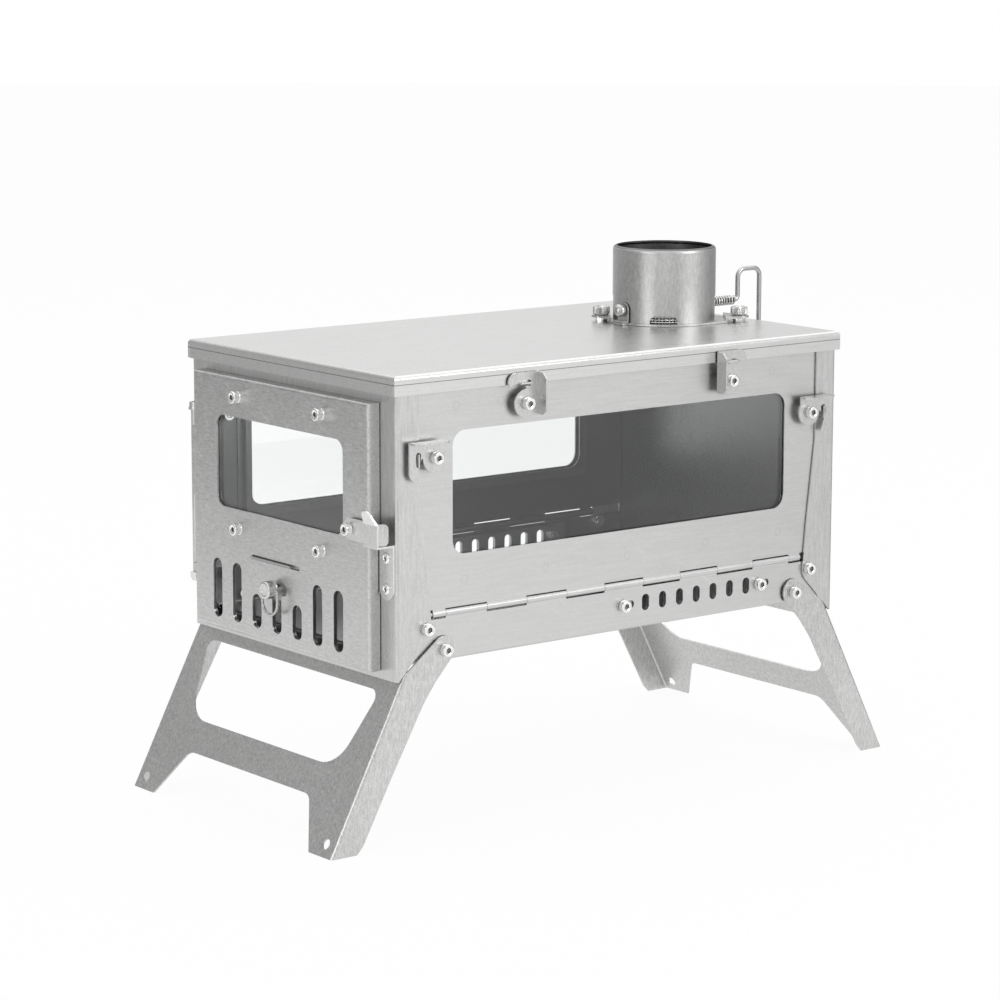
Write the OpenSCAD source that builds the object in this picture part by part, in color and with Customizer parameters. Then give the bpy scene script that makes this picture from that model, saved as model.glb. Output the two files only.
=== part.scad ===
/* [Body] */
// Outside length of the firebox from front panel face to rear panel face
body_length = 330; // [300:1:400]
// Outside width of the firebox over the panel flanges
body_width = 203.4; // [190:0.2:240]
// Height of the lid's top face above the ground
stove_height = 265; // [255:1:300]
// Height of the ash tray's underside above the ground
tray_base = 101.8; // [100:0.1:105]
// Thickness of the folded sheet
sheet = 1; // [0.8:0.1:1.2]

/* [Side panels] */
// Distance from each end of the firebox to the side window
side_window_end = 40; // [38:0.5:75]
// Distance from a side panel's top edge down to its window
side_window_top = 32.7; // [32:0.1:45]
// Distance from a side panel's lower edge up to its window
side_window_foot = 29.6; // [18:0.1:40]
// Thickness of the heat glass
glass_thickness = 2.8; // [2:0.1:3]
// Height of the hinge line above the tray's underside
hinge_height = 26.8; // [26:0.2:29]
// Radius of the hinge rod
hinge_rod_radius = 1.4; // [1.2:0.1:1.6]

/* [Lid] */
// Height of the lid's skirt
skirt_height = 11.2; // [10:0.1:12]
// Radius of the bend along the lid's edges
lid_bend = 2.5; // [1.6:0.1:3]

/* [Door] */
// Distance from the body's left side to the door's hinged edge
door_hinge_margin = 13.2; // [13:0.1:20]
// Distance from the door's free edge to the body's right side
door_latch_margin = 14.7; // [14.6:0.1:20]
// Distance from the lid's top face down to the door
door_drop = 16.2; // [15:0.1:26]
// How far the door stands proud of the front panel
door_depth = 8.2; // [7.4:0.1:10]
// Distance from the door's sides to its window
door_window_side = 24.4; // [23:0.1:36]
// Distance from the door's top edge down to its window
door_window_top = 23.2; // [22:0.1:34]
// Distance from the door's lower edge up to its window
door_window_foot = 73.6; // [73:0.1:84]
// Distance between the door's air slots
door_slot_pitch = 20.4; // [18:0.1:21]
// Travel of the door's air slider
door_slider_travel = 7; // [4:0.5:8]

/* [Legs] */
// Lean of each leg from the vertical
leg_tilt = 27.5; // [24:0.5:30]
// Width of the leg's side flange at the foot
leg_flange = 17.1; // [14:0.1:19]

/* [Flue] */
// Outside radius of the flue collar
collar_radius = 31.75; // [28:0.25:34]
// Height of the flue collar above the lid
collar_height = 47; // [42:0.5:60]
// Distance of the flue collar's middle from the body's rear end
collar_setback = 49.8; // [47:0.2:64]

/* [Hidden] */
$fn = 48;

steel = [0.80, 0.80, 0.79];
bright_steel = [0.88, 0.88, 0.88];
dark_steel = [0.55, 0.55, 0.55];
clear_glass = [0.85, 0.92, 0.92, 0.35];

// Clearances between pieces
slide_gap = 0.3;
fit_gap = 0.06;
seat_gap = 0.2;

// Firebox
front_y = -body_length / 2;
flange_x = body_width / 2;
wall_x = flange_x - sheet - slide_gap;
inner_x = wall_x - sheet;
panel_base = tray_base - 8.3;
lid_sheet = 0.8 * sheet;
lid_under = stove_height - lid_sheet;
panel_top = lid_under - 0.5;
tray_end = body_length / 2 - sheet - 0.6;
tray_wall = hinge_height - 2.8;
tray_bend = 1.8;
hinge_z = tray_base + hinge_height;
hinge_x = inner_x - 0.5;
knuckle_radius = 2.3;
knuckle_length = 29;
end_knuckle = 9.1;
hinge_reach = body_length / 2 - 26;
knuckle_pitch = (hinge_reach - end_knuckle - knuckle_length / 2) / 2;
panel_foot = hinge_z + knuckle_radius + 0.5;
panel_end = body_length / 2 - sheet - 0.7;

// Side window and its glass
side_window_length = body_length - 2 * side_window_end;
side_window_height = panel_top - side_window_top - panel_foot - side_window_foot;
window_z = panel_foot + side_window_foot + side_window_height / 2;
glass_margin = 4;
glass_x = inner_x - seat_gap;
rim_width = 4;

// Depth of an end panel's side flanges low down and at the top
flange_depth = 24.2;
flange_top_depth = 15.8;

// Half-length of the flange along an end panel's top, short enough for the side panels to fold past it
stiffener_half = flange_x - 25.7;

panel_bend = 2;
leg_bend = 2.2;
door_bend = 1.8;

// Flange screws and pivots
panel_pivot_y = body_length / 2 - 20.3;
panel_pivot_z = tray_base + 19.7;
leg_pivot_y = body_length / 2 - 32.6;
leg_pivot_z = tray_base + 6.6;
shank_radius = 2;
head_radius = 3.6;
head_height = 3.2;
socket_radius = 1.7;
socket_depth = 1.7;
washer_radius = 3.1;
washer_height = 1;
spacer_radius = 3.2;
nut_radius = 4;
nut_height = 2.8;
thin_nut = 2.4;

// Latches
latch_x = flange_x + 2.4;
tab_reach = 11.5;
latch_heel = 6.9;
latch_length = 17.6;
latch_rise = 9.5;
latch_tab = 7;
corner_latch_y = body_length / 2 - 24.3;
corner_latch_z = stove_height - 46.8;
lid_latch_y = body_length / 2 - 88.4;
skirt_base = stove_height - skirt_height;
lid_latch_z = skirt_base + sheet / 2 - tab_reach;
skirt_x = flange_x + 1.5;
skirt_y = body_length / 2 + 2;

// Legs
leg_pivot_n = 19.2;
leg_pivot_s = (leg_pivot_z + leg_pivot_n * sin(leg_tilt)) / cos(leg_tilt);
leg_x = wall_x + 2.1;
leg_top = leg_pivot_s - 24.5;
leg_window_top = leg_top - 10.2;
leg_window_foot = 49.6;
leg_window_margin = 15.7;
leg_window_taper = 12.2;
foot_gap_top = 30.3;
foot_gap_margin = 41;
foot_width = 21.5;
peg_hole_margin = 9.8;
peg_hole_height = 7.6;
peg_hole_radius = 3;
lobe_radius = 7.7;

// Door
door_y = front_y - door_depth;
door_left = -flange_x + door_hinge_margin;
door_right = flange_x - door_latch_margin;
door_width = door_right - door_left;
door_base = tray_base - 3.8;
door_top = stove_height - door_drop;
door_height = door_top - door_base;
door_window_width = door_width - 2 * door_window_side;
door_window_height = door_height - door_window_top - door_window_foot;
door_window_x = (door_left + door_right) / 2 + 0.3;
door_window_z = door_base + door_window_foot + door_window_height / 2;
door_slot_x = (door_left + door_right) / 2 - 2.5;
door_slot_base = door_base + 6.4;
door_slot_width = 9.2;
long_slot = 35.3;
short_slot = 20.2;
knob_rise = 26.6;
knob_z = door_slot_base + knob_rise;
slit_rise = 41.6;
slit_z = door_slot_base + slit_rise;
slit_length = 48;
door_screw_rise = 12.5;
door_screw_drop = 11;
door_slider_y = door_y + sheet + slide_gap;
door_hinge_set = 5.9;
door_hinge_x = door_left - door_hinge_set;
door_hinge_y = front_y - 3.9;
door_knuckle = 41.2;
hinge_top_drop = 24.9;
hinge_foot_rise = 28.5;
hinge_top = door_top - hinge_top_drop;
hinge_foot = door_base + hinge_foot_rise;
pin_washer_radius = 3.4;
pin_washer_height = 1.4;
pin_head_radius = 2.9;
pin_head_height = 3.2;
pin_nut_radius = 3.5;
pin_nut_height = 3.6;
door_pin_radius = 1.2;
barrel_radius = 1.9;
door_glass_y = door_y + sheet + seat_gap;
door_glass_thickness = min(glass_thickness, 2.8);
door_glass_margin = 3.5;
opening_inset = 9;
door_window_corner = 7;
door_slider_hinge_gap = 8;
door_slider_latch_gap = 14;
door_slider_left = door_left + door_slider_hinge_gap;
door_slider_right = door_right - door_slider_latch_gap;
door_slider_foot = door_base + 3;
door_slider_head = slit_z + 5;

// Knob of the door's air slider, and the ring through it
knob_radius = 5.2;
knob_head = 6.8;
knob_chamfer = 0.6;
knob_neck = 2.6;
knob_reach = 9;
knob_y = door_y - knob_reach;
keyhole_half = knob_neck + 0.6;
ring_wire = 0.85;
ring_reach = 7.6;
ring_drop = 7;
ring_y = knob_y + 4.2;

// Door latch
lever_x = door_right - 14.5;
lever_z = door_base + door_window_foot + 5.8;
lever_y = door_y - 2.2;
lever_sheet = 1.2;
lever_half = 6.1;
keeper_x = door_right + 7;
keeper_z = lever_z - 23.2;
rivet_heights = [keeper_z - 8.7, keeper_z + 8.7];
rivet_radius = 1.5;

// Side air sliders
vent_z = tray_base + 14.6;
vent_pitch = 13.17;
vent_start = 16.7;
vent_width = 5.4;
vent_height = 9.8;
slider_travel = 6.5;
side_slider_end = 11;
side_slider_half = 10.6;
slider_screw_front = -0.8;
slider_screw_rear = 105.4;

// Flue
collar_offset = body_length / 2 - collar_setback;
flange_top = stove_height + 1.4;
shaft_z = stove_height + 9;
shaft_radius = 1.5;
rim_radius = 2.4;
ear_angle = 52;
handle_reach = collar_setback + 11.2;
handle_bend = 9.1;
handle_rise = 13.8;
handle_corner = 5.3;
handle_drop = 17;
damper_hole_rise = 14;
damper_hole_offset = 12;
damper_hole_radius = 4;
front_stud = 38.6;
rear_stud = 46.5;
ear_lift = 2.2;
bracket_y = collar_offset - collar_radius - 1.3;
bracket_half = 4.6;
air_hole_angle = -40.9;
neck = 0.35;
neck_top = shaft_z + 7.6;

// Spring on the damper shaft
spring_wire = 0.45;
spring_radius = 2.45;
spring_turns = 11;
spring_start = collar_offset + collar_radius + 0.9;
spring_length = handle_reach - collar_radius - 4.25;
rings_per_turn = 8;
tube_sides = 6;

// A flat shape drawn in (y, z), thickened along x
module along_x(x0, t) {
    translate([x0, 0, 0])
        rotate([90, 0, 90])
            linear_extrude(height = t)
                children();
}

// A flat shape drawn in (x, z), thickened along y
module along_y(y0, t) {
    translate([0, y0 + t, 0])
        rotate([90, 0, 0])
            linear_extrude(height = t)
                children();
}

// A rod along x, centred at (y, z)
module rod_x(x0, x1, y, z, r) {
    translate([x0, y, z])
        rotate([0, 90, 0])
            cylinder(h = x1 - x0, r = r);
}

// A rod along y, centred at (x, z)
module rod_y(y0, y1, x, z, r) {
    translate([x, y1, z])
        rotate([90, 0, 0])
            cylinder(h = y1 - y0, r = r);
}

// A box from its low corner to its high corner
module span(low, high) {
    translate(low)
        cube(high - low);
}

// A flat rectangle with round corners, centred at (u, v)
module round_rect(u, v, w, h, r) {
    translate([u, v])
        union() {
            square([w - 2 * r, h], center = true);
            square([w, h - 2 * r], center = true);
            for (a = [-1, 1])
                for (b = [-1, 1])
                    translate([a * (w / 2 - r), b * (h / 2 - r)])
                        circle(r = r);
        }
}

// An upright slot with round ends, centred at u, from v0 to v1
module slot(u, v0, v1, w) {
    union() {
        translate([u - w / 2, v0 + w / 2])
            square([w, v1 - v0 - w]);
        translate([u, v0 + w / 2])
            circle(r = w / 2);
        translate([u, v1 - w / 2])
            circle(r = w / 2);
    }
}

// A level slot with round ends, centred at v, from u0 to u1
module level_slot(u0, u1, v, w) {
    union() {
        translate([u0 + w / 2, v - w / 2])
            square([u1 - u0 - w, w]);
        translate([u0 + w / 2, v])
            circle(r = w / 2);
        translate([u1 - w / 2, v])
            circle(r = w / 2);
    }
}

// A socket screw head and collar on the outer face of something, pointing along +x
module socket_head(x, y, z) {
    difference() {
        union() {
            rod_x(x, x + washer_height + 0.1, y, z, washer_radius);
            rod_x(x + washer_height, x + washer_height + head_height, y, z, head_radius);
        }
        translate([x + washer_height + head_height - socket_depth, y, z])
            rotate([0, 90, 0])
                cylinder(h = 2 * socket_depth, r = socket_radius, $fn = 6);
    }
}

// A hex nut with its near face at x, reaching towards -x
module hex_nut(x, y, z) {
    translate([x - nut_height, y, z])
        rotate([0, 90, 0])
            rotate([0, 0, 30])
                cylinder(h = nut_height, r = nut_radius, $fn = 6);
}

// A screw along x with its head at head_x and its nut's near face at nut_x
module cross_screw(head_x, nut_x, y, z) {
    union() {
        socket_head(head_x, y, z);
        rod_x(nut_x - nut_height - 0.6, head_x + 0.5, y, z, shank_radius);
        hex_nut(nut_x, y, z);
    }
}

module both_ends() {
    children();
    mirror([0, 1, 0])
        children();
}

module both_sides() {
    children();
    mirror([1, 0, 0])
        children();
}

// Air slots of one side wall, drawn in (y, z)
module vent_row() {
    for (i = [0 : 6])
        slot(vent_start + i * vent_pitch, vent_z - vent_height / 2, vent_z + vent_height / 2, vent_width);
}

// Section of the tray across its width, drawn in (x, z)
module tray_section(reach, low, bend) {
    union() {
        translate([-reach, low + bend])
            square([2 * reach, tray_base + tray_wall - low - bend]);
        translate([-reach + bend, low])
            square([2 * (reach - bend), bend + 1]);
        for (a = [-1, 1])
            translate([a * (reach - bend), low + bend])
                circle(r = bend);
    }
}

module tray_shell() {
    along_y(-tray_end, 2 * tray_end)
        difference() {
            tray_section(wall_x, tray_base, tray_bend);
            translate([0, 0.01])
                tray_section(inner_x, tray_base + sheet, tray_bend - sheet);
        }
}

// Start and end of each panel knuckle, measured from the front end of the hinge
function tray_knuckle_mid(k) = (k - 2) * knuckle_pitch + hinge_reach;
function panel_knuckle_start(k) = k == 0 ? 0 : tray_knuckle_mid(k - 1) + knuckle_length / 2 + 0.2;
function panel_knuckle_end(k) = k == 5 ? 2 * hinge_reach : tray_knuckle_mid(k) - knuckle_length / 2 - 0.2;

// The tray's knuckles on the right wall
module tray_knuckles() {
    for (k = [0 : 4])
        difference() {
            union() {
                rod_y(tray_knuckle_mid(k) - hinge_reach - knuckle_length / 2,
                    tray_knuckle_mid(k) - hinge_reach + knuckle_length / 2, hinge_x, hinge_z, knuckle_radius);
                span([inner_x, tray_knuckle_mid(k) - hinge_reach - knuckle_length / 2, tray_base + tray_wall - 1],
                    [wall_x, tray_knuckle_mid(k) - hinge_reach + knuckle_length / 2, hinge_z]);
            }
            rod_y(-hinge_reach - 5, hinge_reach + 5, hinge_x, hinge_z, hinge_rod_radius + fit_gap);
        }
}

// A panel's knuckles on the right side
module panel_knuckles() {
    for (k = [0 : 5])
        difference() {
            union() {
                rod_y(panel_knuckle_start(k) - hinge_reach, panel_knuckle_end(k) - hinge_reach,
                    hinge_x, hinge_z, knuckle_radius);
                span([inner_x, panel_knuckle_start(k) - hinge_reach, hinge_z],
                    [wall_x, panel_knuckle_end(k) - hinge_reach, panel_foot + 1]);
            }
            rod_y(-hinge_reach - 5, hinge_reach + 5, hinge_x, hinge_z, hinge_rod_radius + fit_gap);
        }
}

module tray() {
    color(steel)
        difference() {
            union() {
                tray_shell();
                both_sides()
                    tray_knuckles();
                both_ends()
                    span([-inner_x, tray_end - sheet, tray_base + sheet], [inner_x, tray_end, tray_base + 6]);
            }
            both_sides() {
                along_x(inner_x - 1, sheet + 2)
                    vent_row();
                for (y = [slider_screw_front, slider_screw_rear])
                    along_x(inner_x - 1, sheet + 2)
                        level_slot(y - shank_radius - 0.3, y + slider_travel + shank_radius + 0.3, vent_z, 4.6);
                both_ends() {
                    rod_x(inner_x - 1, wall_x + 1, panel_pivot_y, panel_pivot_z, shank_radius + fit_gap);
                    rod_x(inner_x - 1, wall_x + 1, leg_pivot_y, leg_pivot_z, shank_radius + fit_gap);
                }
            }
        }
}

// Outline of an end panel's side flange, drawn in (y, z) with the panel at the low end
module flange_outline() {
    polygon([
        [front_y, panel_base],
        [front_y, panel_top],
        [front_y + flange_top_depth, panel_top],
        [front_y + flange_top_depth, stove_height - 65],
        [front_y + flange_depth - 2.4, tray_base + 47.5],
        [front_y + flange_depth, panel_pivot_z + 2],
        [front_y + flange_depth, panel_pivot_z - 2.6],
        [front_y + flange_depth - 1.6, panel_pivot_z - 6],
        [front_y + 1.5, panel_base]]);
}

// Folded channel seen from above: plate at y = 0 to sheet, flanges at x = -half and half, drawn in (x, y)
module channel_plan(half, depth, bend) {
    difference() {
        bent_front(-half, half, 0, depth, bend);
        translate([0, sheet])
            bent_front(-half + sheet, half - sheet, 0, depth, max(bend - sheet, 0.1));
    }
}

// Rectangle from x0 to x1 and y0 to y1 with both corners at y0 rounded
module bent_front(x0, x1, y0, y1, bend) {
    union() {
        translate([x0, y0 + bend])
            square([x1 - x0, y1 - y0 - bend]);
        translate([x0 + bend, y0])
            square([x1 - x0 - 2 * bend, bend + 0.5]);
        for (x = [x0 + bend, x1 - bend])
            translate([x, y0 + bend])
                circle(r = bend);
    }
}

// Sheet of an end panel with both flanges and the small ears that the corner latches catch
module end_panel() {
    ear_y = -corner_latch_y - tab_reach;
    union() {
        difference() {
            union() {
                intersection() {
                    translate([0, front_y, panel_base])
                        linear_extrude(height = panel_top - panel_base)
                            channel_plan(flange_x, flange_depth + 5, panel_bend);
                    union() {
                        span([-flange_x - 1, front_y - 1, panel_base - 1],
                            [flange_x + 1, front_y + panel_bend, panel_top + 1]);
                        for (x = [-flange_x - 1, flange_x - panel_bend - 1])
                            along_x(x, panel_bend + 2)
                                flange_outline();
                    }
                }
                span([-stiffener_half, front_y + 0.5, panel_top - sheet], [stiffener_half, front_y + 8, panel_top]);
            }
            both_sides() {
                span([wall_x, ear_y + sheet / 2, corner_latch_z - 4.9],
                    [flange_x + 1, ear_y + 6, corner_latch_z + 3.2]);
                rod_x(inner_x - 1, flange_x + 1, -panel_pivot_y, panel_pivot_z, shank_radius + fit_gap);
            }
        }
        both_sides()
            span([flange_x - sheet, ear_y - sheet / 2, corner_latch_z - 4.5],
                [latch_x + sheet + 0.8, ear_y + sheet / 2, corner_latch_z + 2.8]);
    }
}

module front_panel() {
    color(steel)
        difference() {
            union() {
                end_panel();
                door_leaf(1);
            }
            along_y(front_y - 1, sheet + 2)
                round_rect((door_left + door_right) / 2, (door_base + door_top) / 2,
                    door_width - 2 * opening_inset, door_height - 2 * opening_inset, 5);
            door_pin_bore();
            for (z = rivet_heights)
                rod_y(front_y - 1, front_y + 2, keeper_x, z, rivet_radius + 0.1);
        }
}

module rear_panel() {
    color(steel)
        mirror([0, 1, 0])
            end_panel();
}

// Frame of a side panel on the right side
module side_panel() {
    difference() {
        union() {
            along_x(inner_x, sheet)
                difference() {
                    translate([-panel_end, panel_foot])
                        square([2 * panel_end, panel_top - panel_foot]);
                    round_rect(0, window_z, side_window_length, side_window_height, 8.5);
                }
            panel_knuckles();
        }
        both_ends() {
            rod_x(inner_x - 1, wall_x + 1, corner_latch_y, corner_latch_z, shank_radius + fit_gap);
            rod_x(inner_x - 1, wall_x + 1, lid_latch_y, lid_latch_z, shank_radius + fit_gap);
        }
    }
}

module side_panel_right() {
    color(steel)
        side_panel();
}

module side_panel_left() {
    color(steel)
        mirror([1, 0, 0])
            side_panel();
}

// Heat glass behind a side window on the right side
module side_glass() {
    span([glass_x - glass_thickness, -side_window_length / 2 - glass_margin,
        window_z - side_window_height / 2 - glass_margin],
        [glass_x, side_window_length / 2 + glass_margin, window_z + side_window_height / 2 + glass_margin]);
}

module side_glass_right() {
    color(clear_glass)
        side_glass();
}

module side_glass_left() {
    color(clear_glass)
        mirror([1, 0, 0])
            side_glass();
}

// Folded frame that holds the glass against the panel on the right side
module glass_frame() {
    l = side_window_length + 2 * glass_margin + 0.6;
    h = side_window_height + 2 * glass_margin + 0.6;
    back_x = glass_x - glass_thickness - seat_gap - 0.8;
    difference() {
        union() {
            along_x(inner_x - 0.8, 0.8)
                round_rect(0, window_z, l + 1.6 + 2 * rim_width, h + 1.6 + rim_width, 2.5);
            along_x(back_x, inner_x - back_x)
                round_rect(0, window_z, l + 1.6, h + 1.6, 1.5);
        }
        along_x(back_x + 0.8, inner_x - back_x)
            translate([-l / 2, window_z - h / 2])
                square([l, h]);
        along_x(back_x - 1, sheet + 2)
            round_rect(0, window_z, side_window_length + 2, side_window_height + 2, 8.5);
    }
}

module glass_frame_right() {
    color(steel)
        glass_frame();
}

module glass_frame_left() {
    color(steel)
        mirror([1, 0, 0])
            glass_frame();
}

module hinge_rods() {
    color(bright_steel)
        both_sides()
            rod_y(-hinge_reach - 1, hinge_reach + 1, hinge_x, hinge_z, hinge_rod_radius);
}

// Half-outline of the lid across one direction: flat top with bent edges
module lid_section(reach, top, bend, low) {
    union() {
        translate([-reach, low])
            square([2 * reach, top - bend - low]);
        translate([-reach + bend, top - bend - 1])
            square([2 * (reach - bend), bend + 1]);
        for (a = [-1, 1])
            translate([a * (reach - bend), top - bend])
                circle(r = bend);
    }
}

module lid_block(shrink, low, bend) {
    intersection() {
        along_y(-skirt_y - 1, 2 * skirt_y + 2)
            lid_section(skirt_x - shrink, stove_height - shrink, bend, low);
        along_x(-skirt_x - 1, 2 * skirt_x + 2)
            lid_section(skirt_y - shrink, stove_height - shrink, bend, low);
    }
}

module lid() {
    color(steel)
        difference() {
            union() {
                difference() {
                    lid_block(0, skirt_base, lid_bend);
                    lid_block(lid_sheet, skirt_base - 1, lid_bend - lid_sheet);
                }
                both_sides()
                    both_ends()
                        span([skirt_x - lid_sheet, lid_latch_y - 2.8, skirt_base],
                            [latch_x + sheet + 1.2, lid_latch_y + 4.5, skirt_base + sheet]);
            }
            both_sides()
                both_ends()
                    span([skirt_x - 2, skirt_y - 0.5, skirt_base - 1], [skirt_x - 0.5, skirt_y + 1, stove_height - 3]);
            translate([0, collar_offset, lid_under - 5])
                cylinder(h = 10, r = collar_radius - 2);
            stud_places()
                translate([0, 0, lid_under - 5])
                    cylinder(h = 10, r = shank_radius + fit_gap);
        }
}

// Where the two collar studs stand
module stud_places() {
    translate([0, collar_offset, 0])
        rotate([0, 0, ear_angle]) {
            translate([rear_stud, 0, 0])
                children();
            translate([-front_stud, 0, 0])
                children();
        }
}

module flue_collar() {
    color(steel)
        difference() {
            translate([0, collar_offset, 0])
                difference() {
                    rotate_extrude()
                        collar_section();
                    rotate([0, 0, air_hole_angle])
                        along_x(20, 20)
                            slot_arch();
                }
            rod_y(collar_offset - 40, collar_offset + 40, 0, shaft_z, shaft_radius + fit_gap);
        }
}

// Wall and rolled rim of the collar, drawn as radius and height, necked in below the pipe's seat
module collar_section() {
    top = stove_height + collar_height;
    difference() {
        union() {
            translate([collar_radius - sheet, neck_top - 0.4])
                square([sheet, top - rim_radius - neck_top + 0.4]);
            translate([collar_radius - sheet - neck, flange_top])
                square([sheet, neck_top - flange_top]);
            translate([collar_radius - rim_radius, top - rim_radius])
                intersection() {
                    circle(r = rim_radius);
                    square([rim_radius, rim_radius]);
                }
        }
        translate([collar_radius - rim_radius, top - rim_radius])
            circle(r = rim_radius - sheet);
    }
}

// Half-round-ended air hole at the foot of the collar, drawn in (y, z)
module slot_arch() {
    translate([0, flange_top - 0.5])
        union() {
            translate([-8.4, 0])
                square([16.8, 1.9]);
            translate([-5, 0])
                square([10, 5.3]);
            for (a = [-1, 1])
                translate([a * 5, 1.9])
                    circle(r = 3.4);
        }
}

// Outline of the two-eared flange, ears along x
module flange_plan() {
    union() {
        circle(r = collar_radius + 1.4);
        polygon([[rear_stud + 2, 5.6], [rear_stud + 2, -5.6], [22, -25], [-22, -25], [-front_stud - 2, -5.6],
            [-front_stud - 2, 5.6], [-22, 25], [22, 25]]);
        translate([rear_stud, 0])
            circle(r = 6);
        translate([-front_stud, 0])
            circle(r = 6);
    }
}

// One layer of the flange between two distances along the ears
module flange_layer(low, high, from, to) {
    intersection() {
        translate([0, 0, low])
            linear_extrude(height = high - low)
                flange_plan();
        span([from, -40, low - 1], [to, 40, high + 1]);
    }
}

module collar_flange() {
    base = stove_height + seat_gap;
    plate = flange_top - base;
    step_rear = rear_stud - 9;
    step_front = front_stud - 6;
    color(steel)
        difference() {
            union() {
                translate([0, collar_offset, 0])
                    rotate([0, 0, ear_angle]) {
                        flange_layer(base, flange_top, -step_front - 1.2, step_rear + 1.2);
                        flange_layer(base, flange_top + ear_lift, step_rear, step_rear + 1.2);
                        flange_layer(base, flange_top + ear_lift, -step_front - 1.2, -step_front);
                        flange_layer(base + ear_lift, base + ear_lift + plate, step_rear, 60);
                        flange_layer(base + ear_lift, base + ear_lift + plate, -60, -step_front);
                    }
                span([-bracket_half, bracket_y - 4, base], [bracket_half, bracket_y + 5, flange_top]);
            }
            translate([0, collar_offset, base - 1])
                cylinder(h = 10, r = collar_radius - 2);
            translate([0, collar_offset, flange_top])
                cylinder(h = 10, r = collar_radius - neck + 0.1);
            stud_places()
                translate([0, 0, base - 1])
                    cylinder(h = 10, r = shank_radius + fit_gap);
        }
}

module collar_studs() {
    color(bright_steel)
        stud_places()
            union() {
                translate([0, 0, lid_under - 3.2])
                    cylinder(h = 14.6, r = shank_radius);
                translate([0, 0, stove_height])
                    cylinder(h = ear_lift, r = 3.6);
                translate([0, 0, lid_under - seat_gap - 2.4])
                    cylinder(h = 2.4, r = nut_radius, $fn = 6);
            }
}

module thumb_nuts() {
    foot = flange_top + ear_lift + seat_gap;
    color(bright_steel)
        stud_places()
            difference() {
                union() {
                    translate([0, 0, foot])
                        cylinder(h = 5.2, r = 5.2);
                    for (i = [0 : 17])
                        rotate([0, 0, i * 20])
                            translate([5.2, 0, foot + 0.7])
                                cylinder(h = 3.8, r = 0.45, $fn = 6);
                }
                translate([0, 0, foot - 1])
                    cylinder(h = 10, r = shank_radius + fit_gap);
            }
}

module damper_bracket() {
    foot_z = flange_top + seat_gap;
    color(steel)
        difference() {
            union() {
                along_y(bracket_y, 1)
                    union() {
                        translate([-bracket_half, foot_z])
                            square([2 * bracket_half, shaft_z - foot_z]);
                        circle_at(0, shaft_z, bracket_half);
                    }
                span([-bracket_half, bracket_y - 4, foot_z], [bracket_half, bracket_y + 1, foot_z + 1]);
            }
            rod_y(bracket_y - 1, bracket_y + 3, 0, shaft_z, shaft_radius + fit_gap);
        }
}

// Woven mesh patch inside the air hole
module collar_mesh() {
    mesh_radius = collar_radius - neck - sheet - 0.5;
    wire = 0.35;
    color(bright_steel)
        translate([0, collar_offset, 0])
            rotate([0, 0, air_hole_angle - 20])
                union() {
                    for (i = [0 : 2])
                        translate([0, 0, flange_top + 1.2 + i * 2.1])
                            rotate([0, 0, -1])
                                rotate_extrude(angle = 42)
                                    translate([mesh_radius, 0])
                                        circle(r = wire - 0.06);
                    for (i = [0 : 8])
                        rotate([0, 0, i * 5])
                            translate([mesh_radius, 0, flange_top + 0.3])
                                cylinder(h = 6.2, r = wire);
                }
}

module damper_plate() {
    plate_radius = collar_radius - neck - sheet - 1.25;
    color(dark_steel)
        difference() {
            union() {
                translate([-0.5, collar_offset, shaft_z])
                    rotate([0, 90, 0])
                        cylinder(h = 1, r = plate_radius);
                rod_y(collar_offset - plate_radius + 3, collar_offset + plate_radius - 3, 0, shaft_z, shaft_radius + 1);
            }
            rod_y(collar_offset - 40, collar_offset + 40, 0, shaft_z, shaft_radius + 0.02);
            for (a = [-1, 1])
                translate([-3, collar_offset + a * damper_hole_offset, shaft_z + damper_hole_rise])
                    rotate([0, 90, 0])
                        cylinder(h = 6, r = damper_hole_radius);
        }
}

module damper_handle() {
    ball_y = collar_offset - collar_radius - 4.4;
    up_y = collar_offset + handle_reach;
    turn = 3;
    loop_z = shaft_z + handle_rise;
    color(bright_steel)
        union() {
            difference() {
                translate([0, ball_y + 1, shaft_z])
                    sphere(r = 4);
                span([-5, ball_y + 2.6, shaft_z - 5], [5, ball_y + 8, shaft_z + 5]);
            }
            rod_y(ball_y, up_y - turn, 0, shaft_z, shaft_radius);
            translate([0, up_y - turn, shaft_z + turn])
                rotate([0, 90, 0])
                    rotate_extrude(angle = 90)
                        translate([turn, 0])
                            circle(r = shaft_radius);
            translate([0, up_y, shaft_z + turn])
                cylinder(h = loop_z - shaft_z - turn, r = shaft_radius);
            for (side = [-1, 1])
                translate([0, up_y + handle_bend, loop_z])
                    mirror([0, side < 0 ? 1 : 0, 0])
                        translate([0, handle_corner - handle_bend, 0])
                            rotate([90, 0, -90])
                                rotate_extrude(angle = 90)
                                    translate([handle_corner, 0])
                                        circle(r = shaft_radius);
            rod_y(up_y + handle_corner, up_y + 2 * handle_bend - handle_corner, 0, loop_z + handle_corner, shaft_radius);
            translate([0, up_y + 2 * handle_bend, shaft_z - handle_drop])
                cylinder(h = loop_z - shaft_z + handle_drop, r = shaft_radius);
        }
}

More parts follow.
